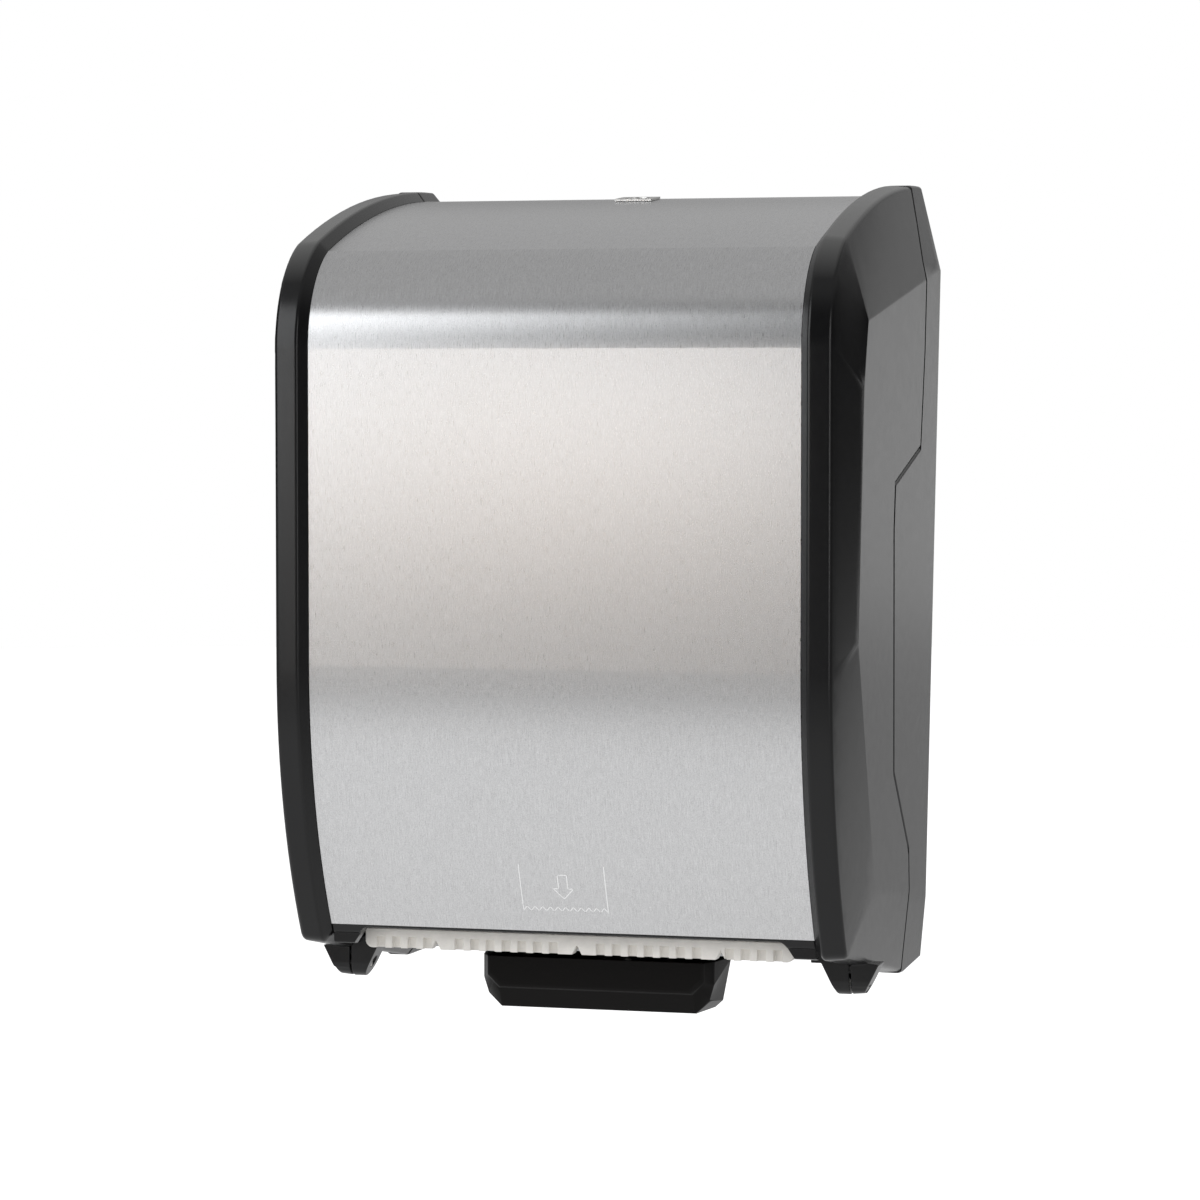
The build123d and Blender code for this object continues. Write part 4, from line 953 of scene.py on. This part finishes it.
class DISPENSER_OT_stage(bpy.types.Operator):
    """Lays the floor and sets the lamps and the camera"""

    bl_idname = "dispenser.stage"
    bl_label = "Stage"
    bl_options = {"REGISTER", "UNDO"}

    lamps = (
        # name, azimuth, elevation, distance, width, height, watts, colour
        ("left_softbox", -45.0, 19.5, 2.2, 1.5, 1.6, 24.0, (0.97, 0.985, 1.0)),
        ("front_strip", -13.5, 2.5, 2.4, 0.5, 0.13, 1.15, (1.0, 1.0, 1.0)),
        ("warm_strip", -16.5, 0.2, 2.4, 0.45, 0.06, 0.25, (1.0, 0.60, 0.28)),
        ("low_strip", -31.5, -1.0, 2.2, 0.2, 0.5, 0.36, (1.0, 0.90, 0.80)),
        ("right_softbox", 46.0, 12.0, 2.0, 0.5, 1.2, 6.0, (1.0, 1.0, 1.0)),
    )
    sensor_width = 36              # width of the camera's sensor in millimetres
    floor_sides = 96               # straight sides of the floor's rim
    floor_grain = 8 * MM           # size of the floor's grain
    floor_rough = (0.75, 0.9)      # least and greatest roughness of the floor
    sheen_reach = (0.6, 2.5)       # distances at which the floor's sheen starts to fade and stops

    # backward and upward shares of a direction in the world
    backdrop_rim = (0.90, 0.96)    # backward, where the backdrop starts and is full
    backdrop_rise = (0.0, 0.14)    # upward, where the backdrop starts to dim and stops
    ceiling_rim = (0.34, 0.62)     # upward, where the ceiling starts and is full
    backdrop_top = 0.5             # share of the backdrop's brightness that is left above
    ceiling_tilt = 0.3             # how far the ceiling comes down towards the back

    def execute(self, context):
        sizes = context.scene.dispenser.stage
        context.scene.view_settings.view_transform = "Standard"
        self.lay_floor(context, sizes)
        self.light_world(context, sizes)
        self.place_lamps(context, sizes)
        self.place_camera(context, sizes)
        return {"FINISHED"}

    def lay_floor(self, context, sizes):
        """Pale floor that clips to white but keeps the shadow, clear from below."""
        shape = bmesh.new()
        bmesh.ops.create_circle(
            shape, cap_ends=True, segments=self.floor_sides, radius=sizes.floor_radius
        )
        mesh = mesh_of(shape, "floor")
        material, tree, surface, place = finish("floor_finish")
        surface.inputs["Base Color"].default_value = scaled(sizes.floor_tone, 1)
        grain = noise(tree, place, self.floor_grain)
        rough = remap(tree, grain, *NOISE_RANGE, *self.floor_rough)
        link_inputs(tree, surface, {"Roughness": rough})
        path = add(tree, "LightPath", {}).outputs
        away = add(tree, "VectorMath", {0: place}, operation="LENGTH").outputs["Value"]
        sheen = remap(tree, away, *self.sheen_reach, sizes.floor_sheen, sizes.far_sheen)
        mirrored = reckon(tree, "MULTIPLY", self.mirrored_rays(tree, path), sheen)
        strength = reckon(tree, "MULTIPLY_ADD", path["Is Camera Ray"], sizes.floor_glow, mirrored)
        glow = add(tree, "Emission", {"Strength": strength}).outputs["Emission"]
        lit = add(tree, "AddShader", {0: surface.outputs["BSDF"], 1: glow}).outputs["Shader"]
        beneath = add(tree, "NewGeometry", {}).outputs["Backfacing"]
        clear = add(tree, "BsdfTransparent", {}).outputs["BSDF"]
        mixed = add(tree, "MixShader", {0: beneath, 1: lit, 2: clear}).outputs["Shader"]
        link_inputs(tree, tree.nodes["Material Output"], {"Surface": mixed})
        mesh.materials.append(material)
        floor = bpy.data.objects.new("floor", mesh)
        floor.location.z = CAD_BOX[0].z - sizes.floor_drop
        context.scene.collection.objects.link(floor)

    def mirrored_rays(self, tree, path):
        """One for the rays that see the background in a reflection or through glass."""
        return reckon(tree, "MAXIMUM", path["Is Glossy Ray"], path["Is Transmission Ray"])

    def light_world(self, context, sizes):
        """Even fill light; reflections show the white backdrop, the ceiling and a dim room."""
        world = bpy.data.worlds.new("studio")
        context.scene.world = world
        world.use_nodes = True
        world.cycles.sampling_method = "NONE"
        tree = world.node_tree
        path = add(tree, "LightPath", {}).outputs
        heading = add(tree, "TexCoord", {}).outputs["Generated"]
        parts = add(tree, "SeparateXYZ", {"Vector": heading}).outputs
        behind = remap(tree, parts["Y"], *self.backdrop_rim, 0.0, sizes.backdrop)
        dimming = remap(tree, parts["Z"], *self.backdrop_rise, 1.0, self.backdrop_top)
        backdrop = reckon(tree, "MULTIPLY", behind, dimming)
        upward = reckon(tree, "MULTIPLY_ADD", parts["Y"], self.ceiling_tilt, parts["Z"])
        ceiling = remap(tree, upward, *self.ceiling_rim, sizes.room, sizes.overhead)
        seen = reckon(tree, "MAXIMUM", backdrop, ceiling)
        light = blend_values(tree, self.mirrored_rays(tree, path), sizes.fill, seen)
        strength = blend_values(tree, path["Is Camera Ray"], light, 1.0)
        background = tree.nodes["Background"]
        background.inputs["Color"].default_value = (1.0, 1.0, 1.0, 1.0)
        link_inputs(tree, background, {"Strength": strength})

    def place_lamps(self, context, sizes):
        """Soft lamps that only light and reflect."""
        target = Vector(sizes.target)
        for name, azimuth, elevation, distance, width, height, watts, tone in self.lamps:
            lamp = bpy.data.lights.new(name, "AREA")
            lamp.shape = "RECTANGLE"
            lamp.size, lamp.size_y = width, height
            lamp.energy = watts
            lamp.color = tone
            holder = bpy.data.objects.new(name, lamp)
            self.aim(context, holder, target, azimuth, elevation, distance)

    def place_camera(self, context, sizes):
        """Camera at the photograph's angle."""
        camera = bpy.data.cameras.new("camera")
        camera.lens = sizes.lens
        camera.sensor_width = self.sensor_width
        azimuth, elevation = math.degrees(sizes.azimuth), math.degrees(sizes.elevation)
        holder = bpy.data.objects.new("camera", camera)
        self.aim(context, holder, Vector(sizes.target), azimuth, elevation, sizes.distance)
        context.scene.camera = holder

    def aim(self, context, holder, target, azimuth, elevation, distance):
        """Lamp or camera set at angles from a point, and turned to it."""
        turn, rise = math.radians(azimuth), math.radians(elevation)
        level = math.cos(rise)
        away = Vector((math.sin(turn) * level, -math.cos(turn) * level, math.sin(rise)))
        holder.location = target + distance * away
        holder.rotation_euler = away.to_track_quat("Z", "Y").to_euler()
        holder.visible_camera = False
        context.scene.collection.objects.link(holder)


OPERATORS = (
    DISPENSER_OT_stage,
    DISPENSER_OT_shell,
    DISPENSER_OT_steel,
    DISPENSER_OT_guide,
    DISPENSER_OT_lever,
    DISPENSER_OT_lock,
    DISPENSER_OT_feed_frame,
    DISPENSER_OT_drum,
    DISPENSER_OT_pinch,
    DISPENSER_OT_roll_holder,
    DISPENSER_OT_spring,
    DISPENSER_OT_fasteners,
    DISPENSER_OT_pictogram,
)


class DISPENSER_PT_panel(bpy.types.Panel):
    """Lists the dispenser's pieces"""

    bl_idname = "DISPENSER_PT_panel"
    bl_label = "Paper towel dispenser"
    bl_space_type = "VIEW_3D"
    bl_region_type = "UI"
    bl_category = "Dispenser"

    def draw(self, context):
        for operator in OPERATORS:
            self.layout.operator(operator.bl_idname)


CLASSES = (
    ShellLook, LeverLook, GuideLook, FrameLook, DrumLook, RubberLook,
    SteelLook, ZincLook, SpringLook, LockLook,
    EdgeSizes, PictogramSizes, StageSizes, DispenserSettings,
    *OPERATORS, DISPENSER_PT_panel,
)


def register():
    for kind in CLASSES:
        bpy.utils.register_class(kind)
    bpy.types.Scene.dispenser = PointerProperty(
        type=DispenserSettings, name="Dispenser", description="Settings of the dispenser"
    )


def unregister():
    del bpy.types.Scene.dispenser
    for kind in reversed(CLASSES):
        bpy.utils.unregister_class(kind)


def main():
    register()
    for operator in OPERATORS:
        group, name = operator.bl_idname.split(".")
        getattr(getattr(bpy.ops, group), name)()


if __name__ == "__main__":
    main()
